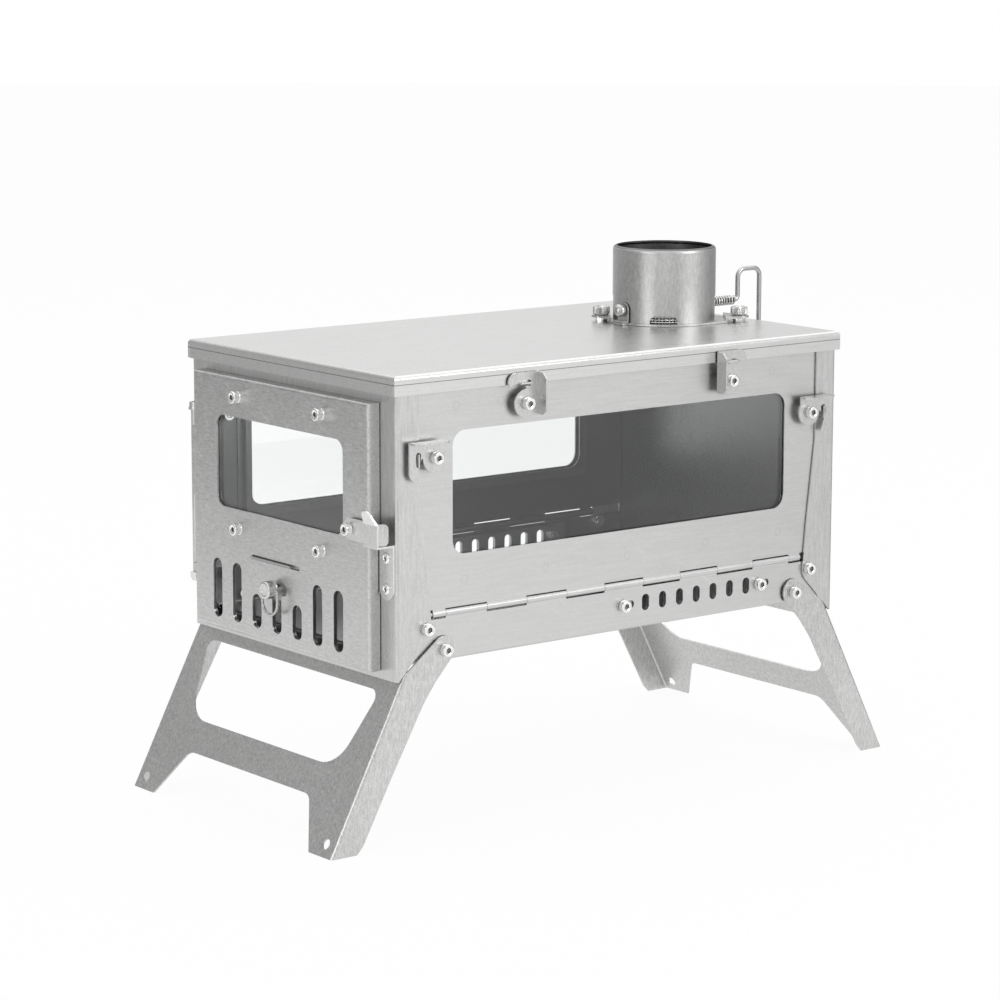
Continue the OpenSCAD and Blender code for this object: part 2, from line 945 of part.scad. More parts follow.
// Centre, outward direction and forward direction of the spring wire at each ring
function spring_angle(i) = 90 + 360 * i / rings_per_turn;
function spring_pitch() = spring_length / spring_turns;
function spring_rise() = atan(spring_pitch() / (360 * PI / 180 * spring_radius));
function spring_out(i) = [sin(spring_angle(i)), 0, cos(spring_angle(i))];
function spring_side(i) = [-cos(spring_angle(i)) * sin(spring_rise()), cos(spring_rise()),
    sin(spring_angle(i)) * sin(spring_rise())];
function spring_ahead(i) = [cos(spring_angle(i)) * cos(spring_rise()), sin(spring_rise()),
    -sin(spring_angle(i)) * cos(spring_rise())];
function spring_centre(i) = [0, spring_start + spring_pitch() * i / rings_per_turn, shaft_z]
    + spring_radius * spring_out(i);
function spring_ring(i, ahead) = [for (j = [0 : tube_sides - 1])
    spring_centre(i) + ahead * spring_ahead(i) + spring_wire
        * (cos(j * 360 / tube_sides) * spring_out(i) + sin(j * 360 / tube_sides) * spring_side(i))];

spring_rings = spring_turns * rings_per_turn;
spring_tail = 6.5;
spring_points = concat([for (i = [0 : spring_rings]) spring_ring(i, 0)], [spring_ring(spring_rings, spring_tail)]);
function curl_gap(i) = min([for (a = spring_points[i]) for (b = spring_points[i + rings_per_turn]) norm(a - b)]);
function shaft_gap(i) = min([for (a = spring_points[i]) norm([a[0], a[2] - shaft_z]) - shaft_radius]);
least_curl_gap = min([for (i = [0 : spring_rings - rings_per_turn]) curl_gap(i)]);
least_shaft_gap = min([for (i = [0 : spring_rings]) shaft_gap(i)]);
echo(least_curl_gap = least_curl_gap, least_shaft_gap = least_shaft_gap);

module damper_spring() {
    last = len(spring_points) - 1;
    color(bright_steel)
        polyhedron(
            points = [for (ring = spring_points) for (p = ring) p],
            faces = concat(
                [[for (j = [0 : tube_sides - 1]) j]],
                [for (i = [0 : last - 1]) for (j = [0 : tube_sides - 1])
                    [i * tube_sides + j, (i + 1) * tube_sides + j, (i + 1) * tube_sides + (j + 1) % tube_sides]],
                [for (i = [0 : last - 1]) for (j = [0 : tube_sides - 1])
                    [i * tube_sides + j, (i + 1) * tube_sides + (j + 1) % tube_sides, i * tube_sides + (j + 1) % tube_sides]],
                [[for (j = [0 : tube_sides - 1]) last * tube_sides + tube_sides - 1 - j]]));
}

// Heights where the door hinge's knuckles meet, from the top down
function knuckle_line(k) = k == 0 ? hinge_top : k == 4 ? hinge_foot
    : (door_top + door_base) / 2 + (2 - k) * door_knuckle;

// Two of the hinge's four knuckles with their leaves: side 1 on the front panel, side 2 on the door
module door_leaf(side) {
    for (k = side == 1 ? [0, 2] : [1, 3]) {
        low = knuckle_line(k + 1) + 0.15;
        high = knuckle_line(k) - 0.15;
        union() {
            translate([door_hinge_x, door_hinge_y, low])
                cylinder(h = high - low, r = barrel_radius);
            if (side == 1)
                span([door_hinge_x - barrel_radius, door_hinge_y, low],
                    [door_hinge_x - barrel_radius + 0.8, front_y + 0.5, high]);
            if (side == 2)
                span([door_hinge_x, door_hinge_y - barrel_radius, low],
                    [door_left + 0.5, door_hinge_y - barrel_radius + 0.8, high]);
        }
    }
}

module door_pin_bore() {
    translate([door_hinge_x, door_hinge_y, door_base - 5])
        cylinder(h = door_height + 10, r = door_pin_radius + fit_gap);
}

// Bolt through the door's knuckles, with a washer and socket head on top and a nut below
module door_hinge_pin() {
    head_z = hinge_top + 0.15 + pin_washer_height;
    nut_z = hinge_foot - 0.15 - pin_nut_height;
    color(bright_steel)
        translate([door_hinge_x, door_hinge_y, 0])
            difference() {
                union() {
                    translate([0, 0, nut_z - 2])
                        cylinder(h = head_z - nut_z + 3, r = door_pin_radius);
                    translate([0, 0, hinge_top + 0.15])
                        cylinder(h = pin_washer_height, r = pin_washer_radius);
                    translate([0, 0, head_z - 0.1])
                        cylinder(h = pin_head_height + 0.1, r = pin_head_radius);
                    translate([0, 0, nut_z])
                        cylinder(h = pin_nut_height, r = pin_nut_radius, $fn = 6);
                    translate([0, 0, nut_z - 1.4])
                        cylinder(h = 1.5, r = pin_head_radius);
                }
                translate([0, 0, head_z + pin_head_height - socket_depth])
                    cylinder(h = 2 * socket_depth, r = socket_radius, $fn = 6);
            }
}

// Air slots of the door, drawn in (x, z), the middle one reaching up to middle_top
module door_slots(middle_top) {
    for (i = [-3 : 3])
        slot(door_slot_x + i * door_slot_pitch, door_slot_base,
            i == 0 ? middle_top : door_slot_base + (abs(i) > 1 ? long_slot : short_slot), door_slot_width);
}

module door_screw_places() {
    for (x = [door_window_x - door_window_width / 2 + 23.4, door_window_x + door_window_width / 2 - 19.4])
        for (z = [door_window_z - door_window_height / 2 - door_screw_drop,
            door_window_z + door_window_height / 2 + door_screw_rise])
            translate([x, 0, z])
                children();
}

// Door pan as a block with bent front edges, shrunk on every face but the back
module door_block(shrink, back, bend) {
    intersection() {
        translate([0, 0, door_base + shrink])
            linear_extrude(height = door_height - 2 * shrink)
                bent_front(door_left + shrink, door_right - shrink, door_y + shrink, back, bend);
        along_x(door_left + shrink, door_width - 2 * shrink)
            mirror([1, -1])
                bent_front(door_base + shrink, door_top - shrink, door_y + shrink, back, bend);
    }
}

module door() {
    rim_y = front_y - 0.4;
    color(steel)
        difference() {
            union() {
                difference() {
                    door_block(0, rim_y, door_bend);
                    door_block(sheet, rim_y + 1, door_bend - sheet);
                }
                door_leaf(2);
            }
            door_pin_bore();
            along_y(door_y - 1, sheet + 2)
                union() {
                    round_rect(door_window_x, door_window_z, door_window_width, door_window_height, door_window_corner);
                    door_slots(knob_z);
                    level_slot(door_slot_x - keyhole_half, door_slot_x + door_slider_travel + keyhole_half, knob_z,
                        2 * keyhole_half);
                    translate([door_slot_x - 0.8 - slit_length / 2, slit_z - 1.3])
                        square([slit_length, 2.6]);
                }
            door_screw_places()
                rod_y(door_y - 1, door_y + 3, 0, 0, shank_radius + fit_gap);
            rod_y(door_y - 1, door_y + 3, lever_x, lever_z, shank_radius + fit_gap);
        }
}

module door_glass() {
    color(clear_glass)
        along_y(door_glass_y, door_glass_thickness)
            translate([door_window_x, door_window_z])
                square([door_window_width + 2 * door_glass_margin, door_window_height + 2 * door_glass_margin],
                    center = true);
}

module door_glass_frame() {
    w = door_window_width + 2 * door_glass_margin + 0.6;
    h = door_window_height + 2 * door_glass_margin + 0.6;
    face_y = door_y + sheet;
    back_y = door_glass_y + door_glass_thickness + seat_gap;
    color(steel)
        difference() {
            union() {
                along_y(face_y, 0.8)
                    round_rect(door_window_x, door_window_z + (door_screw_rise - door_screw_drop) / 3, w + 1.6,
                        door_window_height + door_screw_rise + door_screw_drop + 8.1, 3);
                along_y(face_y, back_y + 0.8 - face_y)
                    round_rect(door_window_x, door_window_z, w + 1.6, h + 1.6, 1.5);
            }
            span([door_window_x - w / 2, face_y - 1, door_window_z - h / 2],
                [door_window_x + w / 2, back_y, door_window_z + h / 2]);
            along_y(back_y - 1, 4)
                round_rect(door_window_x, door_window_z, door_window_width + 2, door_window_height + 2, 7);
            door_screw_places()
                rod_y(face_y - 1, face_y + 3, 0, 0, shank_radius + fit_gap);
        }
}

module door_screws() {
    nut_y = door_y + sheet + 0.8;
    color(bright_steel)
        door_screw_places()
            union() {
                rotate([0, 0, -90])
                    socket_head(-door_y, 0, 0);
                rod_y(door_y - 0.5, nut_y + thin_nut + 0.6, 0, 0, shank_radius);
                translate([0, nut_y + thin_nut, 0])
                    rotate([90, 0, 0])
                        cylinder(h = thin_nut, r = nut_radius, $fn = 6);
            }
}

module door_slider() {
    tab_x = door_slot_x - 0.8 - slit_length / 2 + 0.3;
    color(dark_steel)
        union() {
            difference() {
                span([door_slider_left, door_slider_y, door_slider_foot],
                    [door_slider_right, door_slider_y + sheet, door_slider_head]);
                along_y(door_slider_y - 1, sheet + 2)
                    door_slots(door_slot_base + short_slot);
                rod_y(door_slider_y - 1, door_slider_y + sheet + 1, door_slot_x, knob_z, shank_radius + fit_gap);
            }
            span([tab_x, door_y - 1.6, slit_z - 0.6], [tab_x + slit_length - door_slider_travel - 0.6,
                door_slider_y + sheet, slit_z + 0.6]);
        }
}

module slider_knob() {
    color(bright_steel)
        difference() {
            union() {
                rod_y(knob_y + knob_chamfer, knob_y + knob_head, door_slot_x, knob_z, knob_radius);
                rod_y(knob_y, knob_y + 2 * knob_chamfer, door_slot_x, knob_z, knob_radius - knob_chamfer);
                rod_y(knob_y + knob_head - 1, door_slider_y, door_slot_x, knob_z, knob_neck);
                rod_y(knob_y + knob_head - 1, door_slider_y + sheet + 1.4, door_slot_x, knob_z, shank_radius);
            }
            rod_x(door_slot_x - 2 * knob_radius, door_slot_x + 2 * knob_radius, ring_y, knob_z, ring_wire + fit_gap);
        }
}

module knob_ring() {
    color(bright_steel)
        union() {
            rod_x(door_slot_x - ring_reach, door_slot_x + ring_reach, ring_y, knob_z, ring_wire);
            for (a = [-1, 1]) {
                translate([door_slot_x + a * ring_reach, ring_y, knob_z])
                    sphere(r = ring_wire);
                translate([door_slot_x + a * ring_reach, ring_y, knob_z - ring_drop])
                    cylinder(h = ring_drop, r = ring_wire);
            }
            translate([door_slot_x, ring_y, knob_z - ring_drop])
                rotate([90, 180, 0])
                    rotate_extrude(angle = 180)
                        translate([ring_reach, 0])
                            circle(r = ring_wire);
        }
}

module door_latch() {
    bar_end = keeper_x + 5;
    color(steel)
        difference() {
            union() {
                along_y(lever_y, lever_sheet)
                    union() {
                        circle_at(lever_x, lever_z, lever_half);
                        translate([lever_x, lever_z - lever_half])
                            square([bar_end - lever_x, 2 * lever_half]);
                    }
                translate([bar_end, lever_y, lever_z])
                    rotate([0, 0, 70])
                        rotate([90, 0, 0])
                            translate([0, 0, -lever_sheet])
                                linear_extrude(height = lever_sheet)
                                    round_tip();
            }
            rod_y(lever_y - 1, lever_y + 3, lever_x, lever_z, shank_radius + fit_gap);
        }
}

module circle_at(u, v, r) {
    translate([u, v])
        circle(r = r);
}

// Bent-back end of the door latch with round corners, drawn from its fold
module round_tip() {
    union() {
        translate([-0.4, -lever_half])
            square([3.6, 2 * lever_half]);
        translate([0, -lever_half + 2.5])
            square([6, 2 * lever_half - 5]);
        for (a = [-1, 1])
            circle_at(3.4, a * (lever_half - 2.6), 2.6);
    }
}

module door_latch_screw() {
    color(bright_steel)
        union() {
            translate([lever_x, 0, lever_z])
                rotate([0, 0, -90])
                    socket_head(-lever_y + 0.15, 0, 0);
            rod_y(lever_y - 0.6, door_y + 4, lever_x, lever_z, shank_radius);
            rod_y(lever_y + lever_sheet + 0.15, door_y, lever_x, lever_z, 3.4);
            translate([lever_x, door_y + sheet + thin_nut, lever_z])
                rotate([90, 0, 0])
                    cylinder(h = thin_nut, r = nut_radius, $fn = 6);
        }
}

module latch_keeper() {
    half = 6.3;
    lip_y = lever_y - 1.7;
    shelf_z = lever_z - lever_half - 1.5;
    color(steel)
        difference() {
            union() {
                along_y(front_y - lever_sheet, lever_sheet)
                    slot(keeper_x, keeper_z - 15, shelf_z + half, 2 * half);
                along_y(front_y - lever_sheet, lever_sheet)
                    translate([keeper_x - half, keeper_z])
                        square([2 * half, shelf_z + 1.2 - keeper_z]);
                span([keeper_x - half, lip_y, shelf_z], [keeper_x + half, front_y, shelf_z + 1.2]);
                span([keeper_x - half, lip_y, shelf_z], [keeper_x + half, lip_y + 1.2, shelf_z + 13.4]);
                translate([keeper_x, lip_y + 1.2, shelf_z + 13.2])
                    rotate([24, 0, 0])
                        rotate([90, 0, 0])
                            linear_extrude(height = 1.2)
                                thumb_tip(half);
            }
            span([keeper_x - half - 1, front_y - 5, shelf_z + 1.2], [keeper_x + half + 1, front_y + 1, shelf_z + 20]);
            for (z = rivet_heights)
                rod_y(front_y - 5, front_y + 2, keeper_x, z, rivet_radius + 0.1);
        }
}

// Round-topped thumb tip of the keeper
module thumb_tip(half) {
    union() {
        polygon([[-half, -0.4], [half, -0.4], [half - 2.6, 5.2], [-half + 1.4, 5.2]]);
        circle_at(-0.6, 4.6, 4.35);
    }
}

module keeper_rivets() {
    color(bright_steel)
        for (z = rivet_heights)
            difference() {
                union() {
                    rod_y(front_y - lever_sheet - 1, front_y + sheet + 0.4, keeper_x, z, rivet_radius);
                    rod_y(front_y - lever_sheet - 1.1, front_y - lever_sheet, keeper_x, z, rivet_radius + 1.4);
                    rod_y(front_y + sheet, front_y + sheet + 0.4, keeper_x, z, rivet_radius + 1.1);
                }
                rod_y(front_y - lever_sheet - 2, front_y - lever_sheet - 0.4, keeper_x, z, rivet_radius - 0.4);
            }
}

// Inner plate that opens and shuts the right side's air slots
module side_slider() {
    face = inner_x - slide_gap;
    difference() {
        span([face - sheet, slider_screw_front - side_slider_end, vent_z - side_slider_half],
            [face, slider_screw_rear + side_slider_end, vent_z + side_slider_half - 3.6]);
        along_x(face - sheet - 1, sheet + 2)
            vent_row();
        for (y = [slider_screw_front, slider_screw_rear])
            rod_x(face - sheet - 1, face + 1, y, vent_z, shank_radius + fit_gap);
    }
}

module slider_screws() {
    for (y = [slider_screw_front, slider_screw_rear])
        cross_screw(wall_x + 0.2, inner_x - slide_gap - sheet, y, vent_z);
}

module side_slider_right() {
    color(dark_steel)
        side_slider();
}

module side_slider_left() {
    color(dark_steel)
        mirror([1, 0, 0])
            side_slider();
}

module slider_screws_right() {
    color(bright_steel)
        slider_screws();
}

module slider_screws_left() {
    color(bright_steel)
        mirror([1, 0, 0])
            slider_screws();
}

// Face of a leg with its two openings, drawn across and up the leg
module leg_face() {
    wide = leg_x - leg_window_margin;
    narrow = wide - leg_window_taper;
    gap = leg_x - foot_gap_margin;
    foot = leg_x - foot_width;
    difference() {
        translate([-leg_x, 0])
            square([2 * leg_x, leg_top]);
        polygon(soft_corners([[-wide, leg_window_top], [wide, leg_window_top], [narrow, leg_window_foot],
            [-narrow, leg_window_foot]], [6, 6, 20, 20]));
        polygon(soft_corners([[-gap, foot_gap_top], [gap, foot_gap_top], [foot, -1], [foot, -20], [-foot, -20],
            [-foot, -1]], [8, 8, 2, 0.1, 0.1, 2]));
        for (a = [-1, 1])
            circle_at(a * (leg_x - peg_hole_margin), peg_hole_height, peg_hole_radius);
    }
}

// Points of a polygon with each corner rounded to its own radius
function unit(v) = v / norm(v);
function corner_arc(a, b, c, r) =
    let (
        p = unit(a - b),
        q = unit(c - b),
        half = acos(p * q) / 2,
        reach = r / tan(half),
        mid = b + unit(p + q) * r / sin(half),
        start = b + p * reach - mid,
        stop = b + q * reach - mid,
        turn = acos(min(1, max(-1, start * stop / (r * r)))) * sign(start[0] * stop[1] - start[1] * stop[0]))
    [for (i = [0 : 8]) mid + [
        start[0] * cos(turn * i / 8) - start[1] * sin(turn * i / 8),
        start[0] * sin(turn * i / 8) + start[1] * cos(turn * i / 8)]];
function soft_corners(points, radii) = [for (i = [0 : len(points) - 1])
    for (p = corner_arc(points[(i + len(points) - 1) % len(points)], points[i],
        points[(i + 1) % len(points)], radii[i])) p];

// Side flange of a leg, drawn as (distance behind the face, height up the leg)
module leg_side() {
    union() {
        polygon([
            [-1, -1],
            [-1, leg_top],
            [leg_pivot_n - lobe_radius + 0.6, leg_pivot_s + 3],
            [leg_pivot_n, leg_pivot_s],
            [leg_pivot_n + lobe_radius - 1, leg_pivot_s - 3.2],
            [leg_flange + 4.6, leg_top + 5],
            [leg_flange + 2.6, leg_top - 8],
            [leg_flange + 0.8, leg_top / 2],
            [leg_flange, 14],
            [leg_flange - 1.4, 9],
            [leg_flange - 3, -1]]);
        circle_at(leg_pivot_n, leg_pivot_s, lobe_radius);
    }
}

// Front leg frame, cut level at the ground
module leg() {
    difference() {
        translate([0, -leg_pivot_y, leg_pivot_z])
            rotate([-leg_tilt, 0, 0])
                translate([0, -leg_pivot_n, -leg_pivot_s])
                    intersection() {
                        translate([0, 0, -2])
                            linear_extrude(height = leg_pivot_s + 20)
                                channel_plan(leg_x, 40, leg_bend);
                        union() {
                            along_y(-1, leg_bend + 1)
                                leg_face();
                            for (x = [-leg_x - 1, leg_x - leg_bend])
                                along_x(x, leg_bend + 1)
                                    leg_side();
                        }
                    }
        span([-leg_x - 5, -body_length, -20], [leg_x + 5, 0, 0]);
        rod_x(-leg_x - 1, leg_x + 1, -leg_pivot_y, leg_pivot_z, shank_radius + fit_gap);
    }
}

module front_leg() {
    color(steel)
        leg();
}

module rear_leg() {
    color(steel)
        mirror([0, 1, 0])
            leg();
}

module leg_screws() {
    color(bright_steel)
        both_sides()
            both_ends()
                union() {
                    cross_screw(leg_x + 0.15, inner_x, leg_pivot_y, leg_pivot_z);
                    rod_x(wall_x, leg_x - sheet - 0.15, leg_pivot_y, leg_pivot_z, 4);
                }
}

module panel_screws() {
    color(bright_steel)
        both_sides()
            both_ends()
                cross_screw(flange_x + 0.1, inner_x, panel_pivot_y, panel_pivot_z);
}

// Turning latch with its pivot at the origin, drawn in (y, z), hook along +y and finger tab on top
module latch_face() {
    difference() {
        union() {
            circle(r = 8.2);
            translate([-latch_heel, 0])
                square([latch_heel + latch_length, latch_rise]);
            translate([9.5, -7.5])
                square([latch_length - 9.5, 9]);
            circle_at(latch_length - 5.2, -7.5, 5.2);
            translate([latch_length - 9, -12])
                intersection() {
                    square([9, 6]);
                    circle_at(3.8, 4.5, 5.2);
                }
        }
        intersection() {
            difference() {
                circle(r = 13.3);
                circle(r = 9.8);
            }
            polygon([[0, 0], [19.7, 3.47], [20, -20], [0, -20], [0, -1]]);
        }
        circle_at(11.37, 2.01, 1.75);
        difference() {
            polygon([[0, -8.4], [8.9, -1.2], [9.9, -1.2], [12.4, -4.6], [9, -14], [0, -14]]);
            circle(r = 8.2);
        }
        circle(r = shank_radius + fit_gap);
    }
}

module latch() {
    union() {
        along_x(0, sheet)
            latch_face();
        difference() {
            span([0, -latch_heel, latch_rise - sheet], [sheet + latch_tab, latch_length - 0.6, latch_rise]);
            for (y = [-latch_heel, latch_length - 0.6])
                translate([sheet + latch_tab, y, 0])
                    rotate([0, 0, 45])
                        span([-2.2, -2.2, latch_rise - sheet - 1], [2.2, 2.2, latch_rise + 1]);
        }
    }
}

module corner_latch() {
    translate([latch_x, corner_latch_y, corner_latch_z])
        latch();
}

module lid_latch() {
    translate([latch_x, lid_latch_y, lid_latch_z])
        rotate([90, 0, 0])
            latch();
}

module latch_screws() {
    both_ends()
        for (at = [[corner_latch_y, corner_latch_z], [lid_latch_y, lid_latch_z]])
            union() {
                cross_screw(latch_x + sheet + 0.15, inner_x, at[0], at[1]);
                rod_x(wall_x, latch_x - 0.15, at[0], at[1], spacer_radius);
            }
}

module lid_latch_front_right() {
    color(steel)
        mirror([0, 1, 0])
            lid_latch();
}

module lid_latch_rear_right() {
    color(steel)
        lid_latch();
}

module corner_latch_front_right() {
    color(steel)
        mirror([0, 1, 0])
            corner_latch();
}

module corner_latch_rear_right() {
    color(steel)
        corner_latch();
}

module lid_latch_front_left() {
    color(steel)
        rotate([0, 0, 180])
            lid_latch();
}

module lid_latch_rear_left() {
    color(steel)
        mirror([1, 0, 0])
            lid_latch();
}

module corner_latch_front_left() {
    color(steel)
        rotate([0, 0, 180])
            corner_latch();
}

module corner_latch_rear_left() {
    color(steel)
        mirror([1, 0, 0])
            corner_latch();
}

module latch_screws_right() {
    color(bright_steel)
        latch_screws();
}

module latch_screws_left() {
    color(bright_steel)
        mirror([1, 0, 0])
            latch_screws();
}

tray();
front_panel();
rear_panel();
side_panel_right();
side_panel_left();
side_glass_right();
side_glass_left();
glass_frame_right();
glass_frame_left();
hinge_rods();
lid();
flue_collar();
collar_flange();
collar_studs();
thumb_nuts();
damper_bracket();
collar_mesh();
damper_plate();
damper_handle();
damper_spring();
door();
door_glass();
door_glass_frame();
door_screws();
door_hinge_pin();
door_latch();
door_latch_screw();
latch_keeper();
keeper_rivets();
door_slider();
slider_knob();
knob_ring();
side_slider_right();
side_slider_left();
slider_screws_right();
slider_screws_left();
front_leg();
rear_leg();
leg_screws();
panel_screws();
lid_latch_front_right();
lid_latch_rear_right();
corner_latch_front_right();
corner_latch_rear_right();
lid_latch_front_left();
lid_latch_rear_left();
corner_latch_front_left();
corner_latch_rear_left();
latch_screws_right();
latch_screws_left();
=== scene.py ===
import math

import bmesh
import bpy
from mathutils import Matrix, Vector


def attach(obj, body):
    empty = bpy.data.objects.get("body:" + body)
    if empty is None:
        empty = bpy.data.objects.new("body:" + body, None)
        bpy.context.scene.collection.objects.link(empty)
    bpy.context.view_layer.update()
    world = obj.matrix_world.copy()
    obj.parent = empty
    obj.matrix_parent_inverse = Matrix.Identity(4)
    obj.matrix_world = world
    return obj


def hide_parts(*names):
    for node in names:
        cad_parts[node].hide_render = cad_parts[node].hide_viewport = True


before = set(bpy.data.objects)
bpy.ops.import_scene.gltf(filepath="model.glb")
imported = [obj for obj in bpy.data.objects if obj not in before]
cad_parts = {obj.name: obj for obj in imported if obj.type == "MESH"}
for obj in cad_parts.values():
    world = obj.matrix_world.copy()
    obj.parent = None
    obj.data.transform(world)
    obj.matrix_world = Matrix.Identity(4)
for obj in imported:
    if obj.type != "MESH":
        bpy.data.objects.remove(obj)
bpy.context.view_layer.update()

scene = bpy.context.scene
scene.view_settings.view_transform = "Standard"
MM = 0.001

# Places on the stove, in millimetres
SIDE_FACE = 100.4       # outer faces of the side walls, from the middle plane
NUT_START = 96.6        # inner ends of the nuts behind those walls
DOOR_FACE = 173.2       # outer face of the door, towards the front
COLLAR_Y = 115.2        # upright axis of the flue collar
SHAFT_Z = 274.0         # axis of the damper's shaft
KNOB_X, KNOB_Z = -3.25, 131.0


# Camera, from a fit to the photograph

def aim_camera():
    heading = Vector((-0.7755, 0.6069, -0.1738)).normalized()
    place = (1.57307, -1.24409, 0.51861)
    roll = 0.0022
    level = heading.cross(Vector((0, 0, 1))).normalized()
    upright = level.cross(heading)
    right = math.cos(roll) * level + math.sin(roll) * upright
    up = math.cos(roll) * upright - math.sin(roll) * level
    data = bpy.data.cameras.new("camera")
    data.sensor_width = 36
    data.lens = 121.6
    camera = bpy.data.objects.new("camera", data)
    camera.matrix_world = Matrix((
        (right.x, up.x, -heading.x, place[0]),
        (right.y, up.y, -heading.y, place[1]),
        (right.z, up.z, -heading.z, place[2]),
        (0, 0, 0, 1)))
    scene.collection.objects.link(camera)
    scene.camera = camera


aim_camera()


# Node helpers: a socket or a plain value can be given wherever a value is asked for

def node(tree, kind, **settings):
    made = tree.nodes.new(kind)
    for name, value in settings.items():
        setattr(made, name, value)
    return made


def join(tree, start, end):
    tree.links.new(start, end)


def fill(tree, made, values):
    for place, value in enumerate(values):
        if isinstance(value, (int, float, tuple)):
            made.inputs[place].default_value = value
        else:
            join(tree, value, made.inputs[place])


def maths(tree, operation, *values):
    made = node(tree, "ShaderNodeMath", operation=operation)
    fill(tree, made, values)
    return made.outputs[0]


def vector_maths(tree, operation, *values):
    made = node(tree, "ShaderNodeVectorMath", operation=operation)
    fill(tree, made, values)
    return made.outputs["Value" if operation in ("LENGTH", "DISTANCE", "DOT_PRODUCT") else "Vector"]


def split(tree, vector):
    made = node(tree, "ShaderNodeSeparateXYZ")
    join(tree, vector, made.inputs[0])
    return made.outputs


def remap(tree, value, low, high, to_low, to_high):
    made = node(tree, "ShaderNodeMapRange")
    join(tree, value, made.inputs["Value"])
    for name, number in (("From Min", low), ("From Max", high), ("To Min", to_low), ("To Max", to_high)):
        made.inputs[name].default_value = number
    return made.outputs["Result"]


def noise(tree, where, scale, detail, rough):
    made = node(tree, "ShaderNodeTexNoise")
    join(tree, where, made.inputs["Vector"])
    made.inputs["Scale"].default_value = scale
    made.inputs["Detail"].default_value = detail
    made.inputs["Roughness"].default_value = rough
    return made.outputs["Fac"]


def object_place(tree):
    return node(tree, "ShaderNodeTexCoord").outputs["Object"]


def new_group(name, inputs, outputs):
    tree = bpy.data.node_groups.new(name, "ShaderNodeTree")
    for label, kind, value in inputs:
        socket = tree.interface.new_socket(label, in_out="INPUT", socket_type=kind)
        socket.default_value = value
    for label, kind in outputs:
        tree.interface.new_socket(label, in_out="OUTPUT", socket_type=kind)
    return tree, node(tree, "NodeGroupInput").outputs, node(tree, "NodeGroupOutput").inputs


# Satin sheet grain: fine blasted speckle, long streaks from the rolling mill and slow tonal drift

def make_grain():
    tree, given, result = new_group("satin grain", [
        ("Stretch", "NodeSocketVector", (1, 1, 1)),
        ("Base tone", "NodeSocketFloat", 0.6),
        ("Tone spread", "NodeSocketFloat", 0.08),
        ("Base roughness", "NodeSocketFloat", 0.36),
        ("Roughness spread", "NodeSocketFloat", 0.1)],
        [("Color", "NodeSocketColor"), ("Roughness", "NodeSocketFloat"), ("Height", "NodeSocketFloat")])
    place = object_place(tree)
    stretched = vector_maths(tree, "MULTIPLY", place, given["Stretch"])
    streaks = remap(tree, noise(tree, stretched, 900, 3, 0.6), 0.3, 0.7, 0, 1)
    speckle = remap(tree, noise(tree, place, 800, 3, 0.7), 0.3, 0.7, 0, 1)
    drift = noise(tree, place, 14, 3, 0.5)
    mixed = maths(tree, "ADD", maths(tree, "MULTIPLY", streaks, 0.45), maths(tree, "MULTIPLY", speckle, 0.35))
    mixed = maths(tree, "ADD", mixed, maths(tree, "MULTIPLY", drift, 0.2))
    centred = maths(tree, "MULTIPLY", maths(tree, "SUBTRACT", mixed, 0.5), 2)
    tone = maths(tree, "ADD", given["Base tone"], maths(tree, "MULTIPLY", centred, given["Tone spread"]))
    colour = node(tree, "ShaderNodeCombineColor")
    fill(tree, colour, (tone, tone, maths(tree, "MULTIPLY", tone, 0.992)))
    join(tree, colour.outputs[0], result["Color"])
    join(tree, maths(tree, "ADD", given["Base roughness"],
        maths(tree, "MULTIPLY", centred, given["Roughness spread"])), result["Roughness"])
    join(tree, maths(tree, "ADD", maths(tree, "MULTIPLY", speckle, 0.5), maths(tree, "MULTIPLY", streaks, 0.5)),
        result["Height"])
    return tree


# Ring left by a spot weld: a mask round one point of the surface

def make_weld_ring():
    tree, given, result = new_group("spot weld ring", [
        ("Centre", "NodeSocketVector", (0, 0, 0)),
        ("Radius", "NodeSocketFloat", 0.0022)],
        [("Mask", "NodeSocketFloat")])
    away = vector_maths(tree, "DISTANCE", object_place(tree), given["Centre"])
    off = maths(tree, "ABSOLUTE", maths(tree, "SUBTRACT", away, given["Radius"]))
    join(tree, remap(tree, off, 0.0002, 0.0006, 1, 0), result["Mask"])
    return tree


# Short bright scratches from handling, in two directions and in loose patches

def make_marks():
    tree, given, result = new_group("handling marks", [
        ("Turn", "NodeSocketVector", (0, 0, 0)),
        ("Amount", "NodeSocketFloat", 1.0)],
        [("Mask", "NodeSocketFloat")])
    place = object_place(tree)
    lines = []
    for share in (1, -0.55):
        turned_by = node(tree, "ShaderNodeVectorMath", operation="SCALE")
        join(tree, given["Turn"], turned_by.inputs[0])
        turned_by.inputs["Scale"].default_value = share
        leaned = node(tree, "ShaderNodeVectorRotate", rotation_type="EULER_XYZ")
        join(tree, place, leaned.inputs["Vector"])
        join(tree, turned_by.outputs[0], leaned.inputs["Rotation"])
        drawn = vector_maths(tree, "MULTIPLY", leaned.outputs[0], (90, 1300, 1300))
        lines.append(remap(tree, noise(tree, drawn, 1, 0, 0.5), 0.69, 0.8, 0, 1))
    patches = remap(tree, noise(tree, place, 34, 2, 0.6), 0.44, 0.62, 0, 1)
    marked = maths(tree, "MULTIPLY", maths(tree, "MAXIMUM", *lines), patches)
    join(tree, maths(tree, "MULTIPLY", marked, given["Amount"]), result["Mask"])
    return tree


# Thin pressed line that runs level round the lid's skirt

